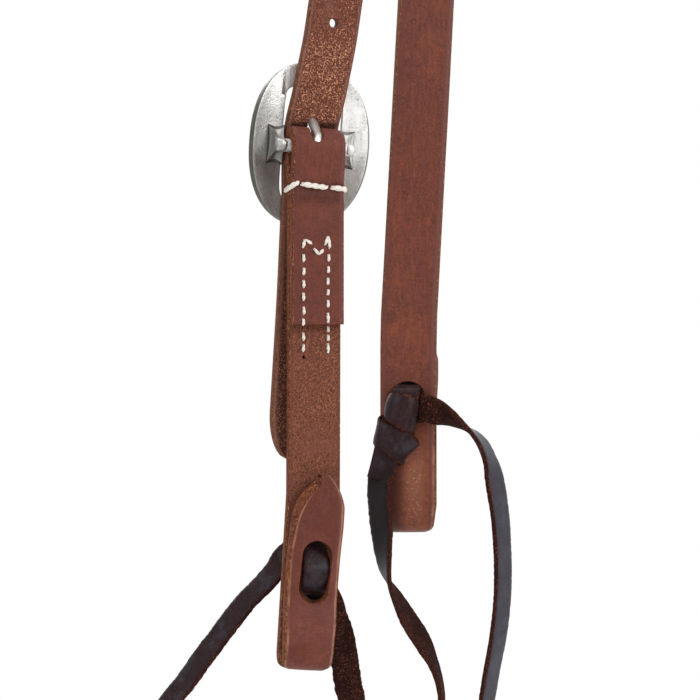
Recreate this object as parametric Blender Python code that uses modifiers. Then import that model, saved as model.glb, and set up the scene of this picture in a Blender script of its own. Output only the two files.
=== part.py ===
"""A western headstall: one strap from the off bit over the crown to a buckled billet,
a near cheek piece on a cart buckle, a sliding ear loop and two lace bit ties.

The frame: +X to the horse's nose, +Y to its near (left) side, +Z up, and the origin in the
middle of the underside of the crown, where the strap rests on the poll. Lengths are in metres.
"""

import math

import bmesh
import bpy
from mathutils import Matrix, Vector

MM = 0.001

# Gaps and small finishes
GAP = 0.3 * MM
CUT_OVER = 0.8 * MM
EDGE_BREAK = 0.35 * MM

# The strap, which the crown, the billet and the near cheek piece are cut from
STRAP_WIDTH = 15.9 * MM
STRAP_THICK = 3.5 * MM

# The crown and the off side
LEG_SPACING = 105.0 * MM
POLL_FLAT = 12.0 * MM
OFF_DROP = 480.0 * MM
OFF_LEAN = 21.4 * MM
OFF_TURN = math.radians(-21.0)
OFF_TURN_LENGTH = 110.0 * MM

# The near side: the buckle's bar under the crown, and what hangs from it
BAR_DROP = 370.0 * MM
BAR_LEAN = 20.2 * MM
BAR_INSET = 2.5 * MM
BUCKLE_ROLL = math.radians(4.3)
CHEEK_DROP = 153.0 * MM
CHEEK_SHIFT = 1.3 * MM
CHEEK_FOOT_LEAN = 3.0 * MM
CHEEK_FOOT_ROLL = math.radians(3.6)

# The billet: its lean as shares of the bar's, at shares of the bar's drop
BILLET_LEAN_SHARES = (
    (0.486, 0.0),
    (0.676, 0.139),
    (0.784, 0.337),
    (0.884, 0.604),
    (0.915, 0.685),
    (0.946, 0.800),
    (0.978, 0.922),
    (1.000, 0.960),
    (1.041, 1.010),
    (1.122, 1.085),
    (1.200, 1.173),
    (1.249, 1.228),
)
BILLET_TAIL = 92.0 * MM
BILLET_TIP = 14.0 * MM
BILLET_HOLE = 3.2 * MM
BILLET_HOLE_PITCH = 32.0 * MM
BILLET_HOLES_ABOVE = 2
BILLET_HOLES_BELOW = 2

# The buckle
BAR_RADIUS = 2.0 * MM
PLATE_WIDTH = 35.0 * MM
PLATE_HEIGHT = 47.2 * MM
PLATE_THICK = 2.0 * MM
PLATE_DROOP = 2.6 * MM
WINDOW_WIDTH = 22.0 * MM
WINDOW_HEIGHT = 32.5 * MM
PLATE_FULLNESS = 2.3
WINDOW_FULLNESS = 5.0
LUG_WIDTH = 6.9 * MM
LUG_HEIGHT = 11.2 * MM
LUG_FOOT = 4.0 * MM
TONGUE_WIRE = 2.8 * MM
TONGUE_REACH = 3.6 * MM
TONGUE_SWING = math.radians(15.0)
TONGUE_LEAVES = math.radians(120.0)

# The cheek piece's turn-back and its thread
TURN_BACK = 52.0 * MM
CROSS_STITCH_DROP = 11.6 * MM
CROSS_THREAD = 1.4 * MM
THREAD = 1.0 * MM
THREAD_DIVE = 0.55
STITCH_TOP = 26.0 * MM
STITCH_PITCH = 3.85 * MM
STITCHES_A_ROW = 9
STITCH_ROW_SPACING = 7.4 * MM

# The bit ends: a fold round the bit, a flap on the inside, and the holes for the lace
FOLD_GAP = 6.0 * MM
FLAP_LENGTH = 57.0 * MM
FLAP_SPACING_SHARES = ((0.20, 0.92), (0.36, 0.74), (0.52, 0.70), (0.70, 0.68), (1.0, 0.66))
FLAP_TIP_SHARES = ((0.80, 1.0), (0.87, 0.90), (0.93, 0.70), (0.975, 0.42), (1.0, 0.14))
UPPER_HOLE_RISE = 37.5 * MM
LOWER_HOLE_RISE = 19.5 * MM
HOLE_WIDTH = 9.2 * MM
HOLE_HEIGHT = 8.2 * MM
SLOT_WIDTH = 8.8 * MM
SLOT_HEIGHT = 18.4 * MM

# The lace and its knot
LACE_WIDTH = 8.2 * MM
LACE_THICK = 2.2 * MM
LACE_DRAWN = 5.8 * MM
LACE_CURLED = 7.2 * MM
KNOT_GAP = 0.4 * MM
STAND_SLANT = 0.39
WRAP_SIDE_SHARE = 0.80
WRAP_RISES_SHARES = (0.0, 0.11, 0.32, 0.45, 0.47, 0.53, 0.74, 0.87, 0.85, 0.80)
WRAP_QUARTERS = 8.5

# The free lace ends: the places they hang through, and which way the grain side faces there
OFF_LEFT_TAIL = (
    (-31.2, -54.9, -463.9, -0.36, -0.93, 0.0),
    (-32.1, -54.9, -466.8, -0.36, -0.93, 0.0),
    (-32.7, -57.4, -472.5, -0.70, -0.70, 0.0),
    (-32.8, -60.5, -480.0, -0.87, -0.50, 0.0),
    (-32.3, -62.0, -488.5, -0.95, -0.20, 0.0),
    (-30.6, -63.0, -494.5, -0.97, 0.25, 0.0),
    (-27.6, -63.0, -500.0, -0.70, 0.70, 0.0),
    (-24.0, -62.5, -505.7, -0.50, 0.86, 0.0),
    (-20.2, -62.0, -511.3, -0.50, 0.86, 0.0),
    (-16.9, -61.0, -517.0, -0.70, 0.70, 0.0),
    (-14.6, -60.0, -523.0, -0.80, 0.55, 0.0),
    (-13.6, -59.0, -530.0, -0.85, 0.50, 0.0),
    (-14.5, -58.0, -547.0, -0.90, 0.40, 0.0),
    (-17.0, -57.0, -566.0, -0.95, 0.30, 0.0),
    (-19.0, -57.0, -586.0, -0.97, 0.20, 0.0),
    (-20.0, -58.0, -606.0, -0.99, 0.10, 0.0),
)
OFF_RIGHT_TAIL = (
    (-19.4, -58.0, -445.6, 0.75, 0.65, 0.0),
    (-17.4, -59.4, -446.0, 0.55, 0.80, 0.1),
    (-15.0, -60.2, -447.2, 0.20, 0.85, 0.45),
    (-10.1, -60.9, -449.3, 0.25, 0.50, 0.80),
    (-3.6, -61.6, -454.9, 0.75, -0.10, 0.60),
    (-0.6, -62.5, -460.5, 0.75, -0.55, 0.30),
    (1.0, -63.0, -466.5, 0.60, -0.78, 0.10),
    (2.3, -64.0, -477.5, 0.52, -0.86, 0.0),
    (3.0, -64.0, -488.7, 0.52, -0.86, 0.0),
    (3.1, -63.0, -500.0, 0.55, -0.83, 0.0),
    (2.0, -62.0, -511.3, 0.58, -0.80, 0.0),
    (0.4, -60.0, -523.0, 0.65, -0.75, 0.0),
    (-1.8, -58.0, -541.0, 0.70, -0.70, 0.0),
    (-4.0, -57.0, -560.0, 0.70, -0.70, 0.0),
    (-5.0, -56.0, -580.0, 0.70, -0.70, 0.0),
    (-5.0, -56.0, -600.0, 0.70, -0.70, 0.0),
)
NEAR_FORE_TAIL = (
    (-13.9, 57.6, -507.5, 0.0, 1.0, 0.0),
    (-12.9, 57.9, -510.6, 0.10, 0.98, 0.0),
    (-10.9, 59.4, -514.5, 0.28, 0.96, 0.0),
    (-9.3, 60.2, -518.5, 0.28, 0.96, 0.0),
    (-7.9, 61.0, -523.5, 0.28, 0.96, 0.0),
    (-6.7, 61.5, -528.5, 0.28, 0.96, 0.0),
    (-5.3, 62.0, -534.0, 0.28, 0.96, 0.0),
    (-2.6, 63.0, -547.0, 0.28, 0.96, 0.0),
    (-0.8, 63.0, -564.0, 0.28, 0.96, 0.0),
    (0.0, 62.0, -584.0, 0.28, 0.96, 0.0),
    (0.0, 61.0, -604.0, 0.28, 0.96, 0.0),
    (-1.0, 60.0, -622.0, 0.28, 0.96, 0.0),
)
NEAR_REAR_TAIL = (
    (-25.3, 56.8, -487.8, -0.50, -0.86, 0.0),
    (-27.2, 57.4, -488.7, -0.50, -0.84, 0.15),
    (-29.3, 57.9, -492.2, -0.70, -0.68, 0.40),
    (-33.9, 58.4, -498.6, -0.74, -0.67, 0.43),
    (-38.2, 59.0, -503.2, -0.74, -0.67, 0.43),
    (-42.8, 60.0, -508.9, -0.74, -0.67, 0.43),
    (-47.1, 61.0, -514.8, -0.74, -0.67, 0.43),
    (-51.2, 62.0, -520.6, -0.74, -0.67, 0.43),
    (-55.2, 63.0, -526.5, -0.74, -0.67, 0.43),
    (-59.8, 64.0, -532.3, -0.74, -0.67, 0.43),
    (-67.0, 65.0, -542.5, -0.76, -0.60, 0.35),
    (-75.0, 66.0, -556.5, -0.78, -0.55, 0.30),
    (-82.0, 66.0, -573.5, -0.80, -0.50, 0.25),
    (-87.0, 65.0, -592.0, -0.80, -0.50, 0.20),
    (-90.0, 64.0, -611.0, -0.80, -0.50, 0.15),
)
TAIL_STATION_STEP = 4.5 * MM

# The ear loop, which slides on the off leg
EAR_RISE = 130.0 * MM
EAR_HEIGHT = 92.0 * MM
EAR_REACH = 42.0 * MM
EAR_WIDTH = 12.0 * MM
EAR_THICK = 3.0 * MM
KEEPER_WALL = 2.4 * MM
KEEPER_WIDTH = 15.0 * MM
KEEPER_CLEARANCE = 0.5 * MM
EAR_STITCHES = 3

# Worked out from the sizes above
HALF_THICK = STRAP_THICK / 2
HALF_WIDTH = STRAP_WIDTH / 2
ARCH_RADIUS = (LEG_SPACING - POLL_FLAT) / 2
ARCH_FOOT = HALF_THICK - ARCH_RADIUS
WRAP_RADIUS = BAR_RADIUS + GAP + HALF_THICK
LAYER_OFFSET = (GAP + STRAP_THICK) / 2
BILLET_SEAT = LAYER_OFFSET + STRAP_THICK + GAP
BILLET_CREST = WRAP_RADIUS + STRAP_THICK + GAP
PLATE_BACK = BILLET_SEAT + HALF_THICK + GAP
PLATE_FACE = PLATE_BACK + PLATE_THICK
LUG_OFFSET = HALF_WIDTH + CHEEK_SHIFT + GAP + LUG_WIDTH / 2
TONGUE_RADIUS = BAR_RADIUS + GAP + TONGUE_WIRE / 2
TONGUE_REST = PLATE_FACE + GAP + TONGUE_WIRE / 2
FOLD_RADIUS = (FOLD_GAP + STRAP_THICK) / 2
FOLD_SPACING = 2 * FOLD_RADIUS
BAR_PLACE = Vector((-BAR_LEAN, LEG_SPACING / 2 - BAR_INSET, -BAR_DROP))

PARTS = "western_headstall"
CUTTERS = "cutters"


def clear_scene():
    """Remove every object that the scene starts with."""
    for old in list(bpy.data.objects):
        bpy.data.objects.remove(old)


def collection(name):
    """Make a collection in the scene."""
    made = bpy.data.collections.new(name)
    bpy.context.scene.collection.children.link(made)
    return made


def material(name, colour, roughness, metallic=0.0):
    """Make a plain Principled material."""
    made = bpy.data.materials.new(name)
    made.use_nodes = True
    shader = made.node_tree.nodes["Principled BSDF"]
    shader.inputs["Base Color"].default_value = (*colour, 1.0)
    shader.inputs["Roughness"].default_value = roughness
    shader.inputs["Metallic"].default_value = metallic
    made.diffuse_color = (*colour, 1.0)
    return made


def leather(name):
    return material(name, (0.190, 0.068, 0.036), 0.55)


def lace_leather(name):
    return material(name, (0.030, 0.018, 0.018), 0.60)


def steel(name):
    return material(name, (0.60, 0.59, 0.57), 0.30, 1.0)


def waxed_thread(name):
    return material(name, (0.82, 0.78, 0.70), 0.70)


def place_mesh(name, shape, finish, parent=None):
    """Turn a bmesh into a named object among the parts, under an empty if one is given."""
    mesh = bpy.data.meshes.new(name)
    shape.to_mesh(mesh)
    shape.free()
    made = bpy.data.objects.new(name, mesh)
    made.data.materials.append(finish)
    bpy.data.collections[PARTS].objects.link(made)
    made.parent = parent
    return made


def place_cutter(name, shape, matrix):
    """Turn a bmesh into a cutter, which the render leaves out."""
    mesh = bpy.data.meshes.new(name)
    shape.to_mesh(mesh)
    shape.free()
    made = bpy.data.objects.new(name, mesh)
    made.matrix_world = matrix
    made.hide_render = True
    made.display_type = "WIRE"
    bpy.data.collections[CUTTERS].objects.link(made)
    return made


def empty(name, matrix):
    """An empty that pieces are placed under."""
    made = bpy.data.objects.new(name, None)
    made.matrix_world = matrix
    bpy.data.collections[PARTS].objects.link(made)
    return made


def combine(target, other, operation):
    """Cut, or join, another object by a Boolean modifier."""
    step = target.modifiers.new(other.name, "BOOLEAN")
    step.operation = operation
    step.object = other
    step.solver = "EXACT"


def frame_matrix(place, roll, turn):
    """A frame at a place, leaning by roll towards +X and turned about +Z."""
    return Matrix.Translation(place) @ Matrix.Rotation(roll, 4, "Y") @ Matrix.Rotation(turn, 4, "Z")


def blend(low, high, at):
    """A smooth step from 0 to 1 between low and high."""
    share = min(max((at - low) / (high - low), 0.0), 1.0)
    return share * share * (3.0 - 2.0 * share)


def along_table(table, at):
    """Read a table of (place, value) pairs along a smooth curve through them."""
    if at <= table[0][0]:
        return table[0][1]
    for index in range(len(table) - 1):
        (low, low_value), (high, high_value) = table[index], table[index + 1]
        if at <= high:
            before = table[max(index - 1, 0)]
            after = table[min(index + 2, len(table) - 1)]
            low_slope = (high_value - before[1]) / (high - before[0])
            high_slope = (after[1] - low_value) / (after[0] - low)
            width = high - low
            t = (at - low) / width
            return (
                (2 * t**3 - 3 * t**2 + 1) * low_value
                + (t**3 - 2 * t**2 + t) * width * low_slope
                + (3 * t**2 - 2 * t**3) * high_value
                + (t**3 - t**2) * width * high_slope
            )
    return table[-1][1]


def smooth_route(points, step):
    """Points about one step apart on a smooth curve through the given tuples."""
    rows = [Vector(point) for point in points]
    route = []
    for index in range(len(rows) - 1):
        start, end = rows[index], rows[index + 1]
        before = rows[max(index - 1, 0)]
        after = rows[min(index + 2, len(rows) - 1)]
        pieces = max(1, round((Vector(end[:3]) - Vector(start[:3])).length / step))
        for piece in range(pieces):
            t = piece / pieces
            route.append(
                0.5 * (2 * start + (end - before) * t
                       + (2 * before - 5 * start + 4 * end - after) * t**2
                       + (3 * start - before - 3 * end + after) * t**3)
            )
    route.append(rows[-1])
    return route


def ribbon(name, stations, thickness, finish, edge_break=EDGE_BREAK):
    """A strap or lace: a strip through stations of (centre, sideways, half width)."""
    shape = bmesh.new()
    rows = len(stations)
    bmesh.ops.create_grid(shape, x_segments=1, y_segments=rows - 1, size=1.0)
    centres = [Vector(station[0]) for station in stations]
    for vertex in shape.verts:
        row = round((vertex.co.y + 1.0) / 2.0 * (rows - 1))
        side = math.copysign(1.0, vertex.co.x)
        _, sideways, half_width = stations[row]
        ahead = centres[min(row + 1, rows - 1)] - centres[max(row - 1, 0)]
        ahead.normalize()
        across = Vector(sideways)
        across -= across.dot(ahead) * ahead
        vertex.co = centres[row] + across.normalized() * half_width * side
    made = place_mesh(name, shape, finish)
    wall = made.modifiers.new("thickness", "SOLIDIFY")
    wall.thickness = thickness
    wall.offset = 0.0
    wall.use_even_offset = True
    if edge_break:
        edges = made.modifiers.new("worked edges", "BEVEL")
        edges.width = edge_break
        edges.segments = 1
        edges.limit_method = "ANGLE"
        edges.angle_limit = math.radians(50.0)
    return made


def slot_cutter(name, width, height, depth, matrix):
    """A cutter with round ends, which cuts along the frame's Y."""
    shape = bmesh.new()
    side_count = 20
    turn = Matrix.Rotation(math.radians(90.0), 4, "X")
    bmesh.ops.create_cone(
        shape, cap_ends=True, segments=side_count, radius1=width / 2, radius2=width / 2,
        depth=depth, matrix=turn @ Matrix.Rotation(math.pi / side_count, 4, "Z"),
    )
    for vertex in shape.verts:
        if height > width:
            vertex.co.z += math.copysign((height - width) / 2, vertex.co.z)
        else:
            vertex.co.z *= height / width
    return place_cutter(name, shape, matrix)


def box_cutter(name, size, matrix):
    """A box cutter of a size along its frame's axes."""
    shape = bmesh.new()
    bmesh.ops.create_cube(shape, size=1.0, matrix=Matrix.Diagonal((*size, 1.0)))
    return place_cutter(name, shape, matrix)


def off_end_frame():
    """The off bit end: at the foot of its outer layer, with -Y outwards."""
    place = Vector((-OFF_LEAN, -LEG_SPACING / 2, -OFF_DROP))
    return frame_matrix(place, 0.0, OFF_TURN)


def near_end_frame():
    """The near bit end, the same way round as the off one when seen from its own side."""
    place = BAR_PLACE + Vector((-CHEEK_FOOT_LEAN, LAYER_OFFSET, -CHEEK_DROP))
    return frame_matrix(place, CHEEK_FOOT_ROLL, math.pi)


def flap_spacing(rise):
    """How far inside its outer layer the flap lies, at a height over the fold."""
    table = ((0.0, 1.0),) + FLAP_SPACING_SHARES
    return FOLD_SPACING * along_table(table, rise / FLAP_LENGTH)


def bit_end_stations(frame):
    """Stations from the flap's tip, round the fold and up to the outer layer's top."""
    flap_shares = (1.0, 0.975, 0.93, 0.87, 0.80, 0.68, 0.56, 0.44, 0.32, 0.22)
    fold_turns = 8
    outer_shares = (0.22, 0.44, 0.66, 0.90)
    places = []
    for share in flap_shares:
        width = along_table(FLAP_TIP_SHARES, share)
        rise = share * FLAP_LENGTH
        places.append((flap_spacing(rise), rise, width * HALF_WIDTH))
    for turn in range(fold_turns + 1):
        angle = math.pi * turn / fold_turns
        inwards = FOLD_RADIUS * (1.0 + math.cos(angle))
        rise = HALF_THICK + FOLD_RADIUS * (1.0 - math.sin(angle))
        places.append((inwards, rise, HALF_WIDTH))
    for share in outer_shares:
        places.append((0.0, share * FLAP_LENGTH, HALF_WIDTH))
    sideways = frame.to_3x3() @ Vector((1.0, 0.0, 0.0))
    if sideways.x < 0.0:
        sideways.negate()
    return [
        (frame @ Vector((0.0, inwards, rise)), sideways, half_width)
        for inwards, rise, half_width in places
    ]


def cut_bit_end(strap, label, frame):
    """The two lace holes in the outer layer and the long slot in the flap."""
    depth = STRAP_THICK + 2 * CUT_OVER
    for place, rise in (("upper", UPPER_HOLE_RISE), ("lower", LOWER_HOLE_RISE)):
        matrix = frame @ Matrix.Translation((0.0, 0.0, rise))
        hole = slot_cutter(f"{label}_{place}_hole", HOLE_WIDTH, HOLE_HEIGHT, depth, matrix)
        combine(strap, hole, "DIFFERENCE")
    middle = (UPPER_HOLE_RISE + LOWER_HOLE_RISE) / 2
    matrix = frame @ Matrix.Translation((0.0, flap_spacing(middle), middle))
    slot = slot_cutter(f"{label}_flap_slot", SLOT_WIDTH, SLOT_HEIGHT, depth, matrix)
    combine(strap, slot, "DIFFERENCE")


def billet_lean(drop):
    """How far the near leg has leaned from the crown, at a drop under it."""
    return -BAR_LEAN * along_table(BILLET_LEAN_SHARES, drop / BAR_DROP)


def billet_offset(rise):
    """The billet's place outside the bar, at a height over it: it bulges over the fold."""
    crest_end = WRAP_RADIUS + HALF_THICK
    seat_start = WINDOW_HEIGHT / 2 - GAP
    lift = BILLET_CREST - BILLET_SEAT
    return BILLET_SEAT + lift * (1.0 - blend(0.6 * crest_end, seat_start, abs(rise)))


def near_leg_place(drop):
    """The near leg's centre at a drop under the crown's rest."""
    leg = LEG_SPACING / 2
    seat = leg - BAR_INSET + billet_offset(BAR_DROP - drop)
    approach = blend(BAR_DROP - PLATE_HEIGHT * 2, BAR_DROP - PLATE_HEIGHT / 2, drop)
    return Vector((billet_lean(drop), leg + (seat - leg) * approach, -drop))


def billet_tip_half_width(drop):
    """The billet's half width, which a rounded point takes in at its tip."""
    to_tip = BAR_DROP + BILLET_TAIL - drop
    share = min(max(to_tip / BILLET_TIP, 0.0), 1.0)
    return HALF_WIDTH * (0.16 + 0.84 * math.sqrt(1.0 - (1.0 - share) ** 2))


def crown_strap_stations():
    """Stations from the off flap's tip, over the crown, to the billet's tip."""
    stations = bit_end_stations(off_end_frame())
    leg_top = -ARCH_FOOT
    lean_end = OFF_DROP - FLAP_LENGTH
    turn_steps = 6
    for step in range(1, turn_steps + 1):
        drop = lean_end - OFF_TURN_LENGTH * step / turn_steps
        turn = OFF_TURN * blend(0.0, 1.0, 1.0 - step / turn_steps)
        lean = -OFF_LEAN * (drop - leg_top) / (lean_end - leg_top)
        sideways = Vector((math.cos(turn), math.sin(turn), 0.0))
        stations.append((Vector((lean, -LEG_SPACING / 2, -drop)), sideways, HALF_WIDTH))
    forward = Vector((1.0, 0.0, 0.0))
    arch_steps = 10
    for side in (-1.0, 1.0):
        for step in range(arch_steps + 1):
            share = step / arch_steps if side < 0.0 else 1.0 - step / arch_steps
            angle = math.pi / 2 * share
            y = side * (POLL_FLAT / 2 + ARCH_RADIUS * math.cos(angle))
            z = ARCH_FOOT + ARCH_RADIUS * math.sin(angle)
            stations.append((Vector((0.0, y, z)), forward, HALF_WIDTH))
    drops = [BAR_DROP * share for share in (0.48, 0.54, 0.60, 0.66, 0.72, 0.77, 0.82, 0.86, 0.895)]
    window_steps = 16
    for step in range(window_steps + 1):
        drops.append(BAR_DROP + PLATE_HEIGHT * (step / window_steps - 0.5))
    tail_start = BAR_DROP + PLATE_HEIGHT / 2
    tail_steps = 5
    tip_start = BAR_DROP + BILLET_TAIL - BILLET_TIP
    for step in range(1, tail_steps + 1):
        drops.append(tail_start + (tip_start - tail_start) * step / tail_steps)
    tip_shares = (0.35, 0.62, 0.82, 0.94, 1.0)
    drops += [tip_start + BILLET_TIP * share for share in tip_shares]
    for drop in drops:
        stations.append((near_leg_place(drop), forward, billet_tip_half_width(drop)))
    return stations


def billet_frame(drop):
    """A frame on the billet at a drop, square to it, for a hole."""
    step = GAP
    here = near_leg_place(drop)
    ahead = near_leg_place(drop - step) - near_leg_place(drop + step)
    roll = math.atan2(ahead.x, ahead.z)
    return frame_matrix(here, roll, 0.0)


def tongue_hole_span():
    """The drops between which the tongue passes through the billet as it swings."""
    clear = (TONGUE_WIRE / 2 + GAP) / math.sin(TONGUE_LEAVES)
    highest = BAR_DROP - tongue_height_at(BILLET_CREST + HALF_THICK, 0.0) - clear
    lowest = BAR_DROP - tongue_height_at(BILLET_SEAT, TONGUE_SWING) + clear
    return highest, lowest


def tongue_height_at(outwards, swing):
    """How far over the bar the tongue's shank is, where it has come outwards by a length."""
    angle = TONGUE_LEAVES - swing
    start = Vector((math.cos(angle), math.sin(angle))) * TONGUE_RADIUS
    heading = Vector((math.sin(angle), -math.cos(angle)))
    return start.y + heading.y * (outwards - start.x) / heading.x


def make_crown_strap():
    """The long strap: off bit end, off leg, crown, near leg and billet."""
    strap = ribbon("crown_strap", crown_strap_stations(), STRAP_THICK, leather("crown_leather"))
    cut_bit_end(strap, "off", off_end_frame())
    highest, lowest = tongue_hole_span()
    middle = (highest + lowest) / 2
    depth = STRAP_THICK + 2 * (BILLET_CREST - BILLET_SEAT) + 2 * CUT_OVER
    width = TONGUE_WIRE + 3 * GAP
    at_tongue = (CHEEK_SHIFT, (BILLET_CREST + BILLET_SEAT) / 2, BAR_DROP - middle)
    matrix = buckle_frame_matrix() @ Matrix.Translation(at_tongue)
    hole = slot_cutter("billet_tongue_hole", width, lowest - highest, depth, matrix)
    combine(strap, hole, "DIFFERENCE")
    for count in range(-BILLET_HOLES_BELOW, BILLET_HOLES_ABOVE + 1):
        if count == 0:
            continue
        drop = middle - count * BILLET_HOLE_PITCH
        depth = STRAP_THICK + 2 * CUT_OVER
        hole = slot_cutter(f"billet_hole_{count}", BILLET_HOLE, BILLET_HOLE, depth, billet_frame(drop))
        combine(strap, hole, "DIFFERENCE")


def buckle_frame_matrix():
    """The bar's frame: X along the bar, Y outwards from the horse, Z up the buckle."""
    return frame_matrix(BAR_PLACE, BUCKLE_ROLL, 0.0)


def cheek_stations():
    """Stations from the turn-back's end, over the bar, down the cheek, to the flap's tip."""
    bar = buckle_frame_matrix()
    pinch = Vector((LAYER_OFFSET, -CROSS_STITCH_DROP))
    tangent = math.atan2(pinch.y, pinch.x) + math.acos(WRAP_RADIUS / pinch.length)
    bar_across = bar.to_3x3() @ Vector((1.0, 0.0, 0.0))
    forward = Vector((1.0, 0.0, 0.0))
    pinch_place = bar @ Vector((CHEEK_SHIFT, 0.0, -CROSS_STITCH_DROP))
    stations = []
    for share in (1.0, 0.75, 0.5, 0.25):
        drop = CROSS_STITCH_DROP + (TURN_BACK - CROSS_STITCH_DROP) * share
        place = Vector((pinch_place.x, BAR_PLACE.y - LAYER_OFFSET, BAR_PLACE.z - drop))
        stations.append((place, forward, HALF_WIDTH))
    wrap_steps = 12
    profile = [(-pinch.x, pinch.y)]
    for step in range(wrap_steps + 1):
        angle = math.pi - tangent + (2 * tangent - math.pi) * step / wrap_steps
        profile.append((WRAP_RADIUS * math.cos(angle), WRAP_RADIUS * math.sin(angle)))
    profile.append((pinch.x, pinch.y))
    for outwards, rise in profile:
        stations.append((bar @ Vector((CHEEK_SHIFT, outwards, rise)), bar_across, HALF_WIDTH))
    foot = list(reversed(bit_end_stations(near_end_frame())))
    end = foot[0][0]
    long_steps = 6
    for step in range(1, long_steps):
        share = step / long_steps
        start = Vector((pinch_place.x, end.y, pinch_place.z))
        place = start.lerp(end, share)
        place.x = start.x + (end.x - start.x) * share * share
        stations.append((place, forward, HALF_WIDTH))
    return stations + foot


def make_cheek_piece():
    """The near cheek piece: turned back over the buckle's bar, and folded up round the bit."""
    strap = ribbon("near_cheek_piece", cheek_stations(), STRAP_THICK, leather("cheek_leather"))
    cut_bit_end(strap, "near", near_end_frame())
    bar = buckle_frame_matrix()
    depth = 2 * (WRAP_RADIUS + HALF_THICK + CUT_OVER)
    slot_foot = TONGUE_RADIUS + TONGUE_WIRE / 2 + GAP
    slot_top = WRAP_RADIUS + HALF_THICK + CUT_OVER
    size = (TONGUE_WIRE + 2 * GAP, depth, slot_foot + slot_top)
    matrix = bar @ Matrix.Translation((CHEEK_SHIFT, 0.0, (slot_top - slot_foot) / 2))
    combine(strap, box_cutter("cheek_tongue_slot", size, matrix), "DIFFERENCE")


def ring_point(angle, width, height, fullness):
    """A point of an oval in the buckle's plane: fullness 2 is an ellipse, more is squarer."""
    cosine, sine = math.cos(angle), math.sin(angle)
    x = math.copysign(abs(cosine) ** (2.0 / fullness), cosine) * width / 2
    z = math.copysign(abs(sine) ** (2.0 / fullness), sine) * height / 2
    return x, z


def make_buckle_frame():
    """The cast frame: an oval plate round a window, with a lug at each end of the bar."""
    shape = bmesh.new()
    around = 48
    shares = (0.0, 0.35, 0.7, 1.0)
    loops = []
    for share in shares:
        loop = []
        for step in range(around):
            angle = 2 * math.pi * (step + 0.5) / around
            outer = Vector(ring_point(angle, PLATE_WIDTH, PLATE_HEIGHT, PLATE_FULLNESS))
            inner = Vector(ring_point(angle, WINDOW_WIDTH, WINDOW_HEIGHT, WINDOW_FULLNESS))
            x, z = outer.lerp(inner, share)
            reach = max(0.0, abs(x) - WINDOW_WIDTH / 2) / ((PLATE_WIDTH - WINDOW_WIDTH) / 2)
            y = PLATE_BACK + PLATE_THICK / 2 - PLATE_DROOP * reach**2
            loop.append(shape.verts.new((x, y, z)))
        loops.append([shape.edges.new((loop[i - 1], loop[i])) for i in range(around)])
    for first, second in zip(loops, loops[1:]):
        bmesh.ops.bridge_loops(shape, edges=first + second)
    bmesh.ops.recalc_face_normals(shape, faces=shape.faces)
    holder = empty("buckle_place", buckle_frame_matrix())
    plate = place_mesh("buckle_frame", shape, steel("buckle_steel"), holder)
    wall = plate.modifiers.new("thickness", "SOLIDIFY")
    wall.thickness = PLATE_THICK
    wall.offset = 0.0
    wall.use_even_offset = True
    foot = BAR_RADIUS + GAP + LUG_FOOT / 4
    length = PLATE_BACK + PLATE_THICK / 2 + foot
    for label, side in (("rear", -1.0), ("fore", 1.0)):
        lug = bmesh.new()
        bmesh.ops.create_cone(
            lug, cap_ends=True, segments=4, radius1=LUG_HEIGHT / 2,
            radius2=BAR_RADIUS + GAP + LUG_FOOT / 2, depth=length,
            matrix=Matrix.Rotation(math.radians(90.0), 4, "X"),
        )
        for vertex in lug.verts:
            vertex.co.x *= LUG_WIDTH / LUG_HEIGHT
        centre = Matrix.Translation((side * LUG_OFFSET, length / 2 - foot, 0.0))
        combine(plate, place_cutter(f"lug_{label}", lug, buckle_frame_matrix() @ centre), "UNION")
    socket = bmesh.new()
    bmesh.ops.create_cone(
        socket, cap_ends=True, segments=16, radius1=BAR_RADIUS + GAP, radius2=BAR_RADIUS + GAP,
        depth=2 * (LUG_OFFSET + LUG_WIDTH), matrix=Matrix.Rotation(math.radians(90.0), 4, "Y"),
    )
    combine(plate, place_cutter("bar_socket", socket, buckle_frame_matrix()), "DIFFERENCE")
    return holder


def make_buckle_bar(holder):
    """The round bar between the lugs."""
    shape = bmesh.new()
    bmesh.ops.create_cone(
        shape, cap_ends=True, segments=16, radius1=BAR_RADIUS, radius2=BAR_RADIUS,
        depth=2 * LUG_OFFSET + LUG_WIDTH / 2, matrix=Matrix.Rotation(math.radians(90.0), 4, "Y"),
    )
    place_mesh("buckle_bar", shape, steel("bar_steel"), holder)


def make_buckle_tongue(holder):
    """The tongue: a wire round the bar, out through the billet and up over the top crosspiece."""
    clear = math.acos(1.0 - (TONGUE_WIRE + GAP) / TONGUE_RADIUS)
    ring_start = 2 * math.pi + TONGUE_LEAVES - clear
    ring_steps = 14
    route = []
    for step in range(ring_steps + 1):
        angle = ring_start + (TONGUE_LEAVES - ring_start) * step / ring_steps
        route.append((TONGUE_RADIUS * math.cos(angle), TONGUE_RADIUS * math.sin(angle)))
    bend_at = BILLET_CREST + HALF_THICK
    route.append((BILLET_SEAT, tongue_height_at(BILLET_SEAT, 0.0)))
    route.append((bend_at, tongue_height_at(bend_at, 0.0)))
    edge = WINDOW_HEIGHT / 2
    route.append((TONGUE_REST - (TONGUE_REST - bend_at) / 4, (edge + tongue_height_at(bend_at, 0.0)) / 2))
    route.append((TONGUE_REST, edge))
    route.append((TONGUE_REST, edge + TONGUE_REACH))
    points = [(CHEEK_SHIFT, outwards, rise, 1.0) for outwards, rise in route]
    wire("buckle_tongue", points, TONGUE_WIRE / 2, steel("tongue_steel"), holder)


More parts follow.
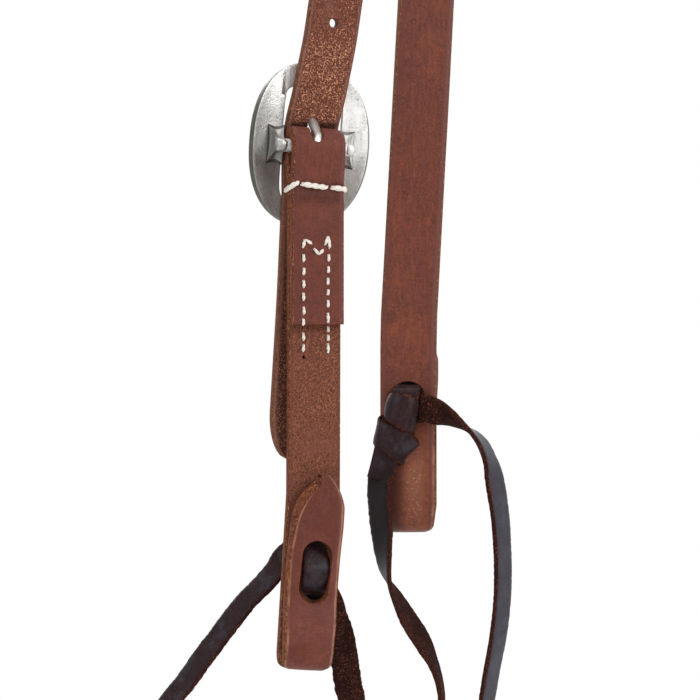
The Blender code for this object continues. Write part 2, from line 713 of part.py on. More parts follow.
def wire(name, route, radius, finish, parent=None):
    """A round wire or thread through points of (x, y, z, share of the radius)."""
    curve = bpy.data.curves.new(name, "CURVE")
    curve.dimensions = "3D"
    curve.bevel_depth = radius
    curve.bevel_resolution = 2
    curve.use_fill_caps = True
    spline = curve.splines.new("POLY")
    spline.points.add(len(route) - 1)
    for point, (x, y, z, share) in zip(spline.points, route):
        point.co = (x, y, z, 1.0)
        point.radius = share
    made = bpy.data.objects.new(name, curve)
    made.data.materials.append(finish)
    bpy.data.collections[PARTS].objects.link(made)
    made.parent = parent
    return made


def stitch_line(start, end, count):
    """Points along a line of stitches: full at each stitch, drawn thin where the thread dives."""
    line = []
    for index in range(count):
        for place, share in ((0.0, THREAD_DIVE), (0.25, 1.0), (0.75, 1.0)):
            line.append((*start.lerp(end, (index + place) / count), share))
    line.append((*end, THREAD_DIVE))
    return line


def make_cross_stitch():
    """The thick thread across the turn-back under the bar, drawn round both edges."""
    bar = buckle_frame_matrix()
    clear = GAP + CROSS_THREAD / 2
    inside = -LAYER_OFFSET - HALF_THICK - clear
    side = HALF_WIDTH + clear
    corner = CROSS_THREAD / 2
    route = []
    for across, outwards in (
        (-side, LAYER_OFFSET), (-side, inside + corner), (-side + corner, inside),
        (side - corner, inside), (side, inside + corner), (side, LAYER_OFFSET),
    ):
        place = bar @ Vector((CHEEK_SHIFT + across, outwards, -CROSS_STITCH_DROP))
        route.append((*place, 1.0))
    wire("cross_stitch", route, CROSS_THREAD / 2, waxed_thread("cross_thread"))


def make_turn_back_stitching():
    """One thread: up the rear row, across in an M, and down the fore row past the cut end."""
    line = (buckle_frame_matrix() @ Vector((CHEEK_SHIFT, 0.0, -CROSS_STITCH_DROP))).x
    upper = BAR_PLACE.y - LAYER_OFFSET - HALF_THICK - GAP - THREAD / 2
    lower = BAR_PLACE.y + LAYER_OFFSET - HALF_THICK - GAP - THREAD / 2
    past_end = BAR_PLACE.z - TURN_BACK - GAP - THREAD / 2
    foot = BAR_PLACE.z - STITCH_TOP - STITCH_PITCH * STITCHES_A_ROW
    top = BAR_PLACE.z - STITCH_TOP
    on_turn_back = max(1, int((top - past_end) / STITCH_PITCH))
    past = max(1, round((past_end - foot) / STITCH_PITCH))
    half = STITCH_ROW_SPACING / 2
    rear = stitch_line(Vector((line - half, lower, foot)), Vector((line - half, lower, past_end)), past)
    rear += stitch_line(Vector((line - half, upper, past_end)), Vector((line - half, upper, top)), on_turn_back)
    middle = [(line, upper, top - STITCH_PITCH / 2, 1.0)]
    fore = [(2 * line - x, y, z, share) for x, y, z, share in reversed(rear)]
    wire("turn_back_stitching", rear + middle + fore, THREAD / 2, waxed_thread("row_thread"))


def stand_shift(rise):
    """How far left the lace's standing piece has slanted, at a height over the fold."""
    return -STAND_SLANT * (UPPER_HOLE_RISE - rise)


def make_tie_knot(name, frame):
    """The lace's bight through the holes, its standing piece and the two turns round it."""
    layer = LACE_THICK + KNOT_GAP
    back = GAP + LACE_THICK / 2
    stand = back + layer
    hole_span = UPPER_HOLE_RISE - LOWER_HOLE_RISE
    middle = LOWER_HOLE_RISE + hole_span / 2
    flap = -HALF_THICK - flap_spacing(middle) + GAP
    narrowing = math.sqrt(1.0 - ((LACE_DRAWN / 2 + GAP) / (HOLE_WIDTH / 2)) ** 2)
    upper = UPPER_HOLE_RISE + HOLE_HEIGHT / 2 * narrowing - LACE_THICK / 2 - GAP
    lower = LOWER_HOLE_RISE - KNOT_GAP
    through = -HALF_THICK
    half = (UPPER_HOLE_RISE - LOWER_HOLE_RISE) / 2
    drawn = LACE_DRAWN / 2
    curled = LACE_CURLED / 2
    stand_foot = LOWER_HOLE_RISE - HOLE_HEIGHT / 3
    profile = [
        (stand, stand_foot, drawn),
        (stand, middle - half / 2, drawn),
        (stand, middle + half / 2, drawn),
        (stand, upper - layer, drawn),
        (stand - LACE_THICK / 3, upper - LACE_THICK / 2, drawn),
        (stand - LACE_THICK, upper, drawn),
        (through, upper - KNOT_GAP, drawn),
        (2 * through, upper - LACE_THICK, drawn),
        ((2 * through + flap) / 2, middle + 0.66 * half, curled),
        (flap + LACE_THICK / 5, middle + 0.30 * half, curled),
        (flap, middle, curled),
        (flap + LACE_THICK / 5, middle - 0.30 * half, curled),
        ((2 * through + flap) / 2, middle - 0.66 * half, curled),
        (2 * through, lower + LACE_THICK / 3, drawn),
        (through, lower, drawn),
        (back, lower, drawn),
    ]
    sideways = frame.to_3x3() @ Vector((1.0, 0.0, 0.0))
    stations = []
    for index, (outwards, rise, half_width) in enumerate(profile):
        across = stand_shift(rise) if index < 5 else 0.0
        place = Vector((across, -HALF_THICK - outwards, rise))
        stations.append((frame @ place, sideways, half_width))
    finish = lace_leather(name + "_lace")
    knot = ribbon(name, stations, LACE_THICK, finish, 0.0)
    wrap = ribbon(name + "_wraps", wrap_stations(frame, stand), LACE_THICK, finish, 0.0)
    bpy.data.collections[PARTS].objects.unlink(wrap)
    bpy.data.collections[CUTTERS].objects.link(wrap)
    wrap.hide_render = True
    wrap.display_type = "WIRE"
    combine(knot, wrap, "UNION")


def wrap_stations(frame, stand):
    """Two flattened turns round the standing piece, which climb and leave to the right."""
    layer = LACE_THICK + KNOT_GAP
    side = LACE_DRAWN / 2 + KNOT_GAP + LACE_THICK / 2
    quarter_steps = 4
    height = UPPER_HOLE_RISE - LOWER_HOLE_RISE
    rises = [(at, LOWER_HOLE_RISE + height * share) for at, share in enumerate(WRAP_RISES_SHARES)]
    places = []
    outward = []
    for step in range(round(WRAP_QUARTERS * quarter_steps) + 1):
        quarter = step / quarter_steps
        angle = math.pi / 2 * (quarter - 1.0)
        rise = along_table(rises, quarter)
        cosine, sine = math.cos(angle), math.sin(angle)
        across = math.copysign(abs(cosine) ** WRAP_SIDE_SHARE, cosine) * side
        outwards = math.copysign(abs(sine) ** WRAP_SIDE_SHARE, sine) * layer
        places.append(Vector((stand_shift(rise) + across, -HALF_THICK - stand - outwards, rise)))
        outward.append(Vector((cosine / side, -sine / layer, 0.0)))
    stations = []
    for index, place in enumerate(places):
        ahead = places[min(index + 1, len(places) - 1)] - places[max(index - 1, 0)]
        sideways = frame.to_3x3() @ outward[index].cross(ahead)
        stations.append((frame @ place, sideways, LACE_DRAWN / 2))
    return stations


def make_tail(name, places):
    """A free lace end: a flat ribbon, drawn narrow at the knot, with its grain side as given."""
    rows = [(x * MM, y * MM, z * MM, *facing) for x, y, z, *facing in places]
    route = smooth_route(rows, TAIL_STATION_STEP)
    centres = [Vector(row[:3]) for row in route]
    stations = []
    for index, row in enumerate(route):
        ahead = centres[min(index + 1, len(route) - 1)] - centres[max(index - 1, 0)]
        sideways = ahead.cross(Vector(row[3:6]))
        spread = blend(0.0, LACE_WIDTH, (centres[index] - centres[0]).length)
        half_width = (LACE_DRAWN + (LACE_WIDTH - LACE_DRAWN) * spread) / 2
        stations.append((centres[index], sideways, half_width))
    ribbon(name, stations, LACE_THICK, lace_leather(name + "_lace"), 0.0)


def ear_frame():
    """A frame on the off leg, leaning as it does, in the middle of the ear loop."""
    leg_top = -ARCH_FOOT
    share = (EAR_RISE - leg_top) / (OFF_DROP - FLAP_LENGTH - leg_top)
    place = Vector((-OFF_LEAN * share, -LEG_SPACING / 2, -EAR_RISE))
    slope = OFF_LEAN / (OFF_DROP - FLAP_LENGTH - leg_top)
    return frame_matrix(place, math.atan(slope), 0.0)


def make_ear_loop():
    """The ear loop: a bow of leather between two keepers that slide on the off leg."""
    frame = ear_frame()
    half = (EAR_HEIGHT - KEEPER_WIDTH) / 2
    start = HALF_WIDTH + KEEPER_CLEARANCE + KEEPER_WALL / 2
    reach = EAR_REACH - start
    bow_steps = 18
    stations = []
    for step in range(bow_steps + 1):
        angle = math.pi / 2 - math.pi * step / bow_steps
        place = Vector((start + reach * math.cos(angle), 0.0, half * math.sin(angle)))
        outwards = Vector((math.cos(angle) / reach, 0.0, math.sin(angle) / half))
        stations.append((frame @ place, frame.to_3x3() @ outwards, EAR_WIDTH / 2))
    loop = ribbon("ear_loop", stations, EAR_THICK, leather("ear_leather"))
    bore = Vector((STRAP_WIDTH, STRAP_THICK)) + Vector((1.0, 1.0)) * 2 * KEEPER_CLEARANCE
    wall = Vector((1.0, 1.0)) * 2 * KEEPER_WALL
    for label, side in (("upper", 1.0), ("lower", -1.0)):
        matrix = frame @ Matrix.Translation((0.0, 0.0, side * half))
        sleeve = box_cutter(f"{label}_keeper", (*(bore + wall), KEEPER_WIDTH), matrix)
        combine(loop, sleeve, "UNION")
    for label, side in (("upper", 1.0), ("lower", -1.0)):
        matrix = frame @ Matrix.Translation((0.0, 0.0, side * half))
        opening = box_cutter(f"{label}_keeper_bore", (*bore, KEEPER_WIDTH + 2 * CUT_OVER), matrix)
        combine(loop, opening, "DIFFERENCE")


def make_ear_stitching():
    """The thread that closes each keeper, on its outer side beside the bow."""
    frame = ear_frame()
    half = (EAR_HEIGHT - KEEPER_WIDTH) / 2
    face = HALF_THICK + KEEPER_CLEARANCE + KEEPER_WALL + GAP + THREAD / 2
    reach = KEEPER_WIDTH / 2 - THREAD
    for label, side in (("upper", 1.0), ("lower", -1.0)):
        start = frame @ Vector((HALF_WIDTH - THREAD, -face, side * half - reach))
        end = frame @ Vector((HALF_WIDTH - THREAD, -face, side * half + reach))
        name = f"ear_{label}_stitching"
        wire(name, stitch_line(start, end, EAR_STITCHES), THREAD / 2, waxed_thread(name + "_thread"))


def main():
    clear_scene()
    collection(PARTS)
    collection(CUTTERS)
    make_crown_strap()
    make_cheek_piece()
    holder = make_buckle_frame()
    make_buckle_bar(holder)
    make_buckle_tongue(holder)
    make_cross_stitch()
    make_turn_back_stitching()
    make_tie_knot("off_tie_knot", off_end_frame())
    make_tie_knot("near_tie_knot", near_end_frame())
    make_tail("off_left_tail", OFF_LEFT_TAIL)
    make_tail("off_right_tail", OFF_RIGHT_TAIL)
    make_tail("near_fore_tail", NEAR_FORE_TAIL)
    make_tail("near_rear_tail", NEAR_REAR_TAIL)
    make_ear_loop()
    make_ear_stitching()


main()
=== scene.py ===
"""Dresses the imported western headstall: its straps, laces, buckle and thread, and the studio.

Lengths are in metres. The horse's nose is at +X, its near (left) side at +Y, and up is +Z.
"""

import logging
import math
import random
from collections.abc import Callable, Sequence
from dataclasses import dataclass, replace
from enum import Enum

import bpy
from mathutils import Matrix, Vector, noise


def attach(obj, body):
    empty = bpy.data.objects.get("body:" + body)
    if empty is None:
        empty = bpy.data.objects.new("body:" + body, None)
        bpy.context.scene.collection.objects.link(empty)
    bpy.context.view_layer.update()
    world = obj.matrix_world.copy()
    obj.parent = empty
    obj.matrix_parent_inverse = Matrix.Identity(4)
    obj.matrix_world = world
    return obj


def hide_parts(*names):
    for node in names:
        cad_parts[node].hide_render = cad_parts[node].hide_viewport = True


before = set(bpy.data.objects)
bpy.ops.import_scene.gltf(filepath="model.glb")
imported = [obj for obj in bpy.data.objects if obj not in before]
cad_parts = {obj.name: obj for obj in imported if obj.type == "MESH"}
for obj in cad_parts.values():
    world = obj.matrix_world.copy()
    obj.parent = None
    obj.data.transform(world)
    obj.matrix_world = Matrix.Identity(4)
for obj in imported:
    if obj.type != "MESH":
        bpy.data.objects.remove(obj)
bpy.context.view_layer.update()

Piece = bpy.types.Object
Material = bpy.types.Material
Socket = bpy.types.NodeSocket
Colour = tuple[float, float, float, float]

LOG = logging.getLogger("headstall")
MM = 0.001
FORWARD = Vector((1.0, 0.0, 0.0))
GREY = (0.5, 0.5, 0.5, 1.0)

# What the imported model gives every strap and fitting
STRAP_WIDTH = 15.9 * MM
STRAP_THICK = 3.5 * MM
HALF_WIDTH = STRAP_WIDTH / 2
HALF_THICK = STRAP_THICK / 2
GAP = 0.3 * MM

# The two legs: where they hang, and how the off one leans and turns towards its bit end
LEG = 52.5 * MM
ARCH_FOOT = -44.75 * MM
OFF_LEAN = 21.4 * MM
OFF_TURN = math.radians(-21.0)
LEAN_END = 480.0 * MM - 57.0 * MM

# The buckle's bar and tongue, and the cheek piece's layers and cross stitch under the bar
BAR_PLACE = Vector((-20.2, 50.0, -370.0)) * MM
BUCKLE_ROLL = math.radians(4.3)
RING_RADIUS = 3.7 * MM
RING_SHIFT = -0.4 * MM
SHANK_SHIFT = 0.6 * MM
SHANK_ANGLE = 120.0
CHEEK_SHIFT = 1.3 * MM
CHEEK_LAYER = 1.9 * MM
STITCH_DROP = 11.6 * MM


class Side(Enum):
    """Which face of the leather a part of its skin belongs to."""

    GRAIN = 0
    FLESH = 1
    EDGE = 2


class View(Enum):
    """Which rays see the white background."""

    CAMERA = "Is Camera Ray"
    GLOSSY = "Is Glossy Ray"
    TRANSMISSION = "Is Transmission Ray"


Relief = Callable[[float, float, Side], float]


@dataclass
class Station:
    """A cross-section's place along a strap: its middle, the way across, and both half widths.

    The skive is how far the grain side is cut back at the left edge.
    """

    centre: Vector
    sideways: Vector
    left: float
    right: float
    skive: float = 0.0


def even_width(centre: Vector, sideways: Vector = FORWARD, half: float = HALF_WIDTH) -> Station:
    """A station that is as wide to the left of its middle as to the right."""
    return Station(centre, sideways, half, half)


def blend(low: float, high: float, at: float) -> float:
    """A smooth step from 0 to 1 between low and high."""
    share = min(max((at - low) / (high - low), 0.0), 1.0)
    return share * share * (3.0 - 2.0 * share)


def bump(at: float, middle: float, reach: float) -> float:
    """A rounded hump of height 1 at a middle, some reach wide to each side."""
    return math.exp(-(((at - middle) / reach) ** 2))


def along_table(table: Sequence[tuple[float, float]], at: float) -> float:
    """Read a table of (place, value) pairs along a smooth curve through them."""
    if at <= table[0][0]:
        return table[0][1]
    for index in range(len(table) - 1):
        (low, low_value), (high, high_value) = table[index], table[index + 1]
        if at <= high:
            before, after = table[max(index - 1, 0)], table[min(index + 2, len(table) - 1)]
            low_slope = (high_value - before[1]) / (high - before[0])
            high_slope = (after[1] - low_value) / (after[0] - low)
            width = high - low
            t = (at - low) / width
            return ((2 * t**3 - 3 * t**2 + 1) * low_value
                    + (t**3 - 2 * t**2 + t) * width * low_slope
                    + (3 * t**2 - 2 * t**3) * high_value + (t**3 - t**2) * width * high_slope)
    return table[-1][1]


def smooth_route(rows: Sequence[Vector], step: float) -> list[Vector]:
    """Points about a step apart on a smooth curve through rows of x, y, z and further values."""
    route = []
    for index in range(len(rows) - 1):
        start, end = rows[index], rows[index + 1]
        before, after = rows[max(index - 1, 0)], rows[min(index + 2, len(rows) - 1)]
        pieces = max(1, round((Vector(end[:3]) - Vector(start[:3])).length / step))
        for piece in range(pieces):
            t = piece / pieces
            route.append(0.5 * (2 * start + (end - before) * t
                                + (2 * before - 5 * start + 4 * end - after) * t**2
                                + (3 * start - before - 3 * end + after) * t**3))
    return [*route, rows[-1].copy()]


def lengths_along(stations: Sequence[Station], least: float = 0.0) -> list[float]:
    """How far along its way each station lies."""
    lengths = [0.0]
    for first, second in zip(stations, stations[1:]):
        lengths.append(lengths[-1] + max((second.centre - first.centre).length, least))
    return lengths


def even_stations(stations: Sequence[Station], step: float) -> list[Station]:
    """Spread stations evenly along their way, about a step apart."""
    lengths = lengths_along(stations, 1e-7)
    count = max(2, round(lengths[-1] / step))
    made = []
    index = 0
    for number in range(count + 1):
        at = lengths[-1] * number / count
        while index < len(lengths) - 2 and lengths[index + 1] < at:
            index += 1
        share = (at - lengths[index]) / (lengths[index + 1] - lengths[index])
        first, second = stations[index], stations[index + 1]
        made.append(Station(
            first.centre.lerp(second.centre, share),
            first.sideways.normalized().lerp(second.sideways.normalized(), share),
            first.left + (second.left - first.left) * share,
            first.right + (second.right - first.right) * share,
            first.skive + (second.skive - first.skive) * share,
        ))
    return made


def ahead_at(points: Sequence[Vector], index: int) -> Vector:
    """The way from the point before one point to the point after it."""
    return points[min(index + 1, len(points) - 1)] - points[max(index - 1, 0)]


def frame_matrix(place: Vector, roll: float, turn: float) -> Matrix:
    """A frame at a place, leaning by roll towards +X and turned about +Z."""
    return Matrix.Translation(place) @ Matrix.Rotation(roll, 4, "Y") @ Matrix.Rotation(turn, 4, "Z")


BUCKLE = frame_matrix(BAR_PLACE, BUCKLE_ROLL, 0.0)


def pick(*pieces: Piece) -> None:
    """Leave edit mode and make these pieces the only selected ones, the first one active."""
    if bpy.context.object and bpy.context.object.mode != "OBJECT":
        bpy.ops.object.mode_set(mode="OBJECT")
    bpy.ops.object.select_all(action="DESELECT")
    for piece in pieces:
        piece.select_set(True)
    if pieces:
        bpy.context.view_layer.objects.active = pieces[0]


def join_pieces(pieces: Sequence[Piece], name: str) -> Piece:
    """Join pieces into one object."""
    pick(*pieces)
    if len(pieces) > 1:
        bpy.ops.object.join()
    pieces[0].name = pieces[0].data.name = name
    return pieces[0]


def finish_piece(piece: Piece, name: str, angle: float = 40.0) -> Piece:
    """Name a piece, round its shading up to an angle and put its place into its mesh."""
    pick(piece)
    bpy.ops.object.transform_apply(location=True, rotation=True, scale=True)
    bpy.ops.object.shade_smooth_by_angle(angle=math.radians(angle))
    piece.name = piece.data.name = name
    return piece


def close_skin(fill: bool = True) -> None:
    """Weld the active piece's seams, fill its open ends and turn its faces outwards."""
    bpy.ops.object.mode_set(mode="EDIT")
    bpy.ops.mesh.select_all(action="SELECT")
    bpy.ops.mesh.remove_doubles(threshold=1e-7)
    if fill:
        bpy.ops.mesh.select_all(action="DESELECT")
        bpy.ops.mesh.select_non_manifold(extend=False)
        bpy.ops.mesh.fill_holes(sides=0)
        bpy.ops.mesh.select_all(action="SELECT")
    bpy.ops.mesh.normals_make_consistent(inside=False)
    bpy.ops.object.mode_set(mode="OBJECT")


def shaped_grid(columns: int, rows: int, place: Callable[[float, float], Sequence[float]]) -> Piece:
    """Add a grid of cells, and put each point where a function of its shares across it says."""
    pick()
    bpy.ops.mesh.primitive_grid_add(x_subdivisions=columns, y_subdivisions=rows, size=2.0)
    piece = bpy.context.object
    for vertex in piece.data.vertices:
        vertex.co = place((vertex.co.x + 1.0) / 2.0, (vertex.co.y + 1.0) / 2.0)
    return piece


@dataclass(frozen=True)
class Section:
    """The cross-section of a strap or lace.

    The edge tool's slope on the grain side is one bevel wide and drops by the fall; the dome is
    how far the grain side is crowned. As many cells as given lie across each face.
    """

    width: float = STRAP_WIDTH
    thick: float = STRAP_THICK
    bevel: float = 1.5 * MM
    fall: float = 0.28 * MM
    corner: float = 0.45 * MM
    cells: int = 14
    dome: float = 0.06 * MM

    def outline(self) -> list[tuple[float, float, Side]]:
        """Points round it: the place across, the height over the middle, and the side there."""
        half, tall, corner = self.width / 2, self.thick / 2, self.corner
        flat, end = half - self.bevel, half - corner
        band = [end, end - (end - flat) * 0.35, end - (end - flat) * 0.75]
        shares = [1 - 2 * index / self.cells for index in range(self.cells + 1)]
        grain = []
        for x in [-x for x in band] + [-flat * share for share in shares] + band[::-1]:
            slope = max(0.0, abs(x) - flat) / max(end - flat, 1e-6)
            grain.append((x, tall - self.fall * slope**1.3 - self.dome * (x / half) ** 2))
        top = grain[-1][1]
        right = [(end + corner * math.sin(a), top - corner * (1 - math.cos(a)))
                 for a in map(math.radians, (30, 65, 90))]
        right.append((half + 0.12 * corner, (top - corner - tall + corner) / 2))
        right += [(end + corner * math.cos(a), -tall + corner * (1 - math.sin(a)))
                  for a in map(math.radians, (0, 25, 60))]
        flesh = [(end * share, -tall) for share in shares]
        left = [(-x, height) for x, height in reversed(right)]
        sides = [Side.GRAIN] * (len(grain) - 1) + [Side.EDGE] * (len(right) + 1)
        sides += [Side.FLESH] * self.cells + [Side.EDGE] * (len(left) + 1)
        return [(*spot, side) for spot, side in zip(grain + right + flesh + left, sides)]


@dataclass(frozen=True)
class RoundSection:
    """The cross-section of a wire or a ply of thread."""

    radius: float
    sides: int

    def outline(self) -> list[tuple[float, float, Side]]:
        """Points round the wire."""
        turns = [2 * math.pi * index / self.sides for index in range(self.sides)]
        return [(self.radius * math.cos(a), self.radius * math.sin(a), Side.GRAIN) for a in turns]


def sweep(name: str, stations: Sequence[Station], section: Section | RoundSection,
          finishes: Sequence[Material], relief: Relief | None = None) -> Piece:
    """Lay a section along stations as one closed skin, each side of it in its own finish.

    The relief is how far the skin stands proud, from the place across, along and the side.
    """
    outline = section.outline()
    around, rows = len(outline), len(stations)
    nominal = max(abs(point[0]) for point in outline)
    travelled = lengths_along(stations)
    centres = [station.centre for station in stations]
    axes, spots = [], []
    for row, station in enumerate(stations):
        ahead = ahead_at(centres, row).normalized()
        across = (station.sideways - station.sideways.dot(ahead) * ahead).normalized()
        axes.append((across, across.cross(ahead).normalized()))

    def place(turn: float, way: float) -> Vector:
        """Where a point of the skin lies, from its shares round and along it."""
        column, row = round(turn * around), round(way * (rows - 1))
        x, height, side = outline[column % around]
        station, (across, normal) = stations[row], axes[row]
        span = station.left if x < 0.0 else station.right
        if x < 0.0 and height > 0.0:
            span -= station.skive
        spots.append((column, x, travelled[row]))
        if relief:
            height += relief(x, travelled[row], side) * (1.0 if height > 0.0 else -1.0)
        return station.centre + across * (x * span / nominal) + normal * height

    piece = shaped_grid(around, rows - 1, place)
    mesh = piece.data
    flat = mesh.uv_layers.active.data
    for face in mesh.polygons:
        column = min(spots[index][0] for index in face.vertices)
        face.material_index = min(outline[column][2].value, len(finishes) - 1)
        for loop in face.loop_indices:
            flat[loop].uv = spots[mesh.loops[loop].vertex_index][1:]
    for finish in finishes:
        mesh.materials.append(finish)
    close_skin()
    for face in mesh.polygons:
        if len(face.vertices) > 4:
            face.material_index = min(Side.EDGE.value, len(finishes) - 1)
    return finish_piece(piece, name, 50.0)


def wire_stations(points: Sequence[Vector], radii: Sequence[float], start: Vector) -> list[Station]:
    """Stations of a wire, with a frame that starts across it and doesn't twist along it."""
    made = []
    across = start.copy()
    for index, point in enumerate(points):
        ahead = ahead_at(points, index).normalized()
        across = (across - across.dot(ahead) * ahead).normalized()
        made.append(Station(point, across.copy(), radii[index], radii[index]))
    return made


def punch(matrix: Matrix, width: float, height: float, thick: float, flare: float,
          finish: Material) -> Piece:
    """A punch for a round or long hole along the matrix's Y, through leather of a thickness.

    The flare is how far the hole's rim is worn back, and the finish is that of its wall.
    """
    over = 1.2 * MM
    at = -thick / 2 - over
    pick()
    bpy.ops.mesh.primitive_circle_add(
        vertices=36, radius=width / 2, fill_type="NGON", location=(0.0, at, 0.0),
        rotation=(math.radians(90.0), 0.0, 0.0),
    )
    tool = bpy.context.object
    bpy.ops.object.transform_apply(location=True, rotation=True, scale=True)
    wide = (width / 2 + flare * 1.6) / (width / 2)
    middle = (width / 2 + flare * 0.5) / (width / 2)
    bpy.ops.object.mode_set(mode="EDIT")
    bpy.ops.mesh.select_all(action="SELECT")
    for depth, growth in (
        (0.0, wide), (over, middle / wide), (flare * 0.6, 1.0 / middle),
        (thick - 1.2 * flare, 1.0), (flare * 0.6, middle), (over, wide / middle),
    ):
        at += depth
        if depth:
            bpy.ops.mesh.extrude_region_move(TRANSFORM_OT_translate={"value": (0.0, depth, 0.0)})
        if growth != 1.0:
            bpy.ops.transform.resize(value=(growth, 1.0, growth), center_override=(0.0, at, 0.0))
    bpy.ops.mesh.select_all(action="SELECT")
    bpy.ops.mesh.normals_make_consistent(inside=False)
    bpy.ops.object.mode_set(mode="OBJECT")
    for vertex in tool.data.vertices:
        if height > width and abs(vertex.co.z) > 1e-7:
            vertex.co.z += math.copysign((height - width) / 2, vertex.co.z)
        elif height < width:
            vertex.co.z *= height / width
    tool.data.materials.append(finish)
    tool.data.transform(matrix)
    return tool


def cut(piece: Piece, tools: Sequence[Piece]) -> None:
    """Cut holes into a piece with punches, and take the punches away."""
    joined = join_pieces(tools, "punches")
    step = piece.modifiers.new("holes", "BOOLEAN")
    step.operation, step.solver, step.material_mode = "DIFFERENCE", "EXACT", "TRANSFER"
    step.object = joined
    pick(piece)
    bpy.ops.object.modifier_apply(modifier=step.name)
    bpy.ops.object.shade_smooth_by_angle(angle=math.radians(50.0))
    bpy.data.objects.remove(joined)


@dataclass
class NodeBench:
    """Adds nodes to one tree and links them."""

    tree: bpy.types.NodeTree

    def fill(self, node: bpy.types.Node, inputs: dict) -> None:
        """Link a node's inputs to sockets, or give them values."""
        for key, value in inputs.items():
            if isinstance(value, Socket):
                self.tree.links.new(value, node.inputs[key])
            else:
                node.inputs[key].default_value = value

    def add(self, kind: str, inputs: dict, **settings: object) -> bpy.types.NodeOutputs:
        """Add a node with its settings and inputs, and give its outputs."""
        made = self.tree.nodes.new("ShaderNode" + kind)
        for key, value in settings.items():
            setattr(made, key, value)
        self.fill(made, inputs)
        return made.outputs

    def math(self, operation: str, *values: object) -> Socket:
        """Reckon with values."""
        return self.add("Math", dict(enumerate(values)), operation=operation)[0]

    def times(self, product: object, *others: object) -> Socket:
        """Multiply values."""
        for other in others:
            product = self.math("MULTIPLY", product, other)
        return product

    def plus(self, total: object, *others: object) -> Socket:
        """Add values up."""
        for other in others:
            total = self.math("ADD", total, other)
        return total

    def ramp(self, value: Socket, low: object, high: object,
             least: float = 0.0, most: float = 1.0) -> Socket:
        """Spread a value smoothly from one range to another."""
        return self.add("MapRange", {
            "Value": value, "From Min": low, "From Max": high, "To Min": least, "To Max": most,
        }, interpolation_type="SMOOTHSTEP")["Result"]

    def noise(self, vector: Socket, scale: object, detail: float = 3.0, rough: float = 0.55,
              distortion: float = 0.0) -> Socket:
        """Read a noise."""
        return self.add("TexNoise", {"Vector": vector, "Scale": scale, "Detail": detail,
                                     "Roughness": rough, "Distortion": distortion})["Fac"]

    def mix(self, share: object, first: object, second: object) -> Socket:
        """Mix two colours."""
        return self.add("Mix", {0: share, 6: first, 7: second}, data_type="RGBA")[2]

    def layers(self, tone: object, *coats: tuple[object, object]) -> Socket:
        """Lay coats of (share, colour) over a colour, one after another."""
        for share, coat in coats:
            tone = self.mix(share, tone, coat)
        return tone

    def stretch(self, vector: Socket, scale: tuple[float, float, float]) -> Socket:
        """Scale a vector by a different amount along each axis."""
        return self.add("Mapping", {"Vector": vector, "Scale": scale})["Vector"]

    def split(self, vector: Socket) -> bpy.types.NodeOutputs:
        """The parts of a vector: X, Y and Z."""
        return self.add("SeparateXYZ", {"Vector": vector})

    def group(self, tree: bpy.types.NodeTree, **inputs: object) -> bpy.types.NodeOutputs:
        """Use a node group."""
        return self.add("Group", inputs, node_tree=tree)

    def finish(self, inputs: dict, height: Socket, strength: float, depth: float) -> None:
        """Fill the material's shader, and raise its surface by a height."""
        raised = self.add("Bump", {"Height": height, "Strength": strength, "Distance": depth})
        self.fill(self.tree.nodes["Principled BSDF"], {**inputs, "Normal": raised["Normal"]})

    def give(self, **outputs: Socket) -> bpy.types.NodeTree:
        """End a node group with its outputs."""
        for label, value in outputs.items():
            kind = "NodeSocketColor" if value.type == "RGBA" else "NodeSocketFloat"
            self.tree.interface.new_socket(label, in_out="OUTPUT", socket_type=kind)
        self.fill(self.tree.nodes.new("NodeGroupOutput"), outputs)
        return self.tree


def make_group(name: str, **inputs: object) -> tuple[NodeBench, bpy.types.NodeOutputs]:
    """Start a node group; an input's first value says of what kind it is, and None a vector."""
    tree = bpy.data.node_groups.new(name, "ShaderNodeTree")
    kinds = {float: "NodeSocketFloat", tuple: "NodeSocketColor"}
    for label, first in inputs.items():
        kind = kinds.get(type(first), "NodeSocketVector")
        socket = tree.interface.new_socket(label, in_out="INPUT", socket_type=kind)
        if first is not None:
            socket.default_value = first
    return NodeBench(tree), tree.nodes.new("NodeGroupInput").outputs


def colour(red: int, green: int, blue: int) -> tuple[float, float, float, float]:
    """Turn a colour as a screen shows it, from 0 to 255, into a shader's linear one."""
    shares = (red / 255, green / 255, blue / 255)
    linear = [c / 12.92 if c <= 0.04045 else ((c + 0.055) / 1.055) ** 2.4 for c in shares]
    return (*linear, 1.0)


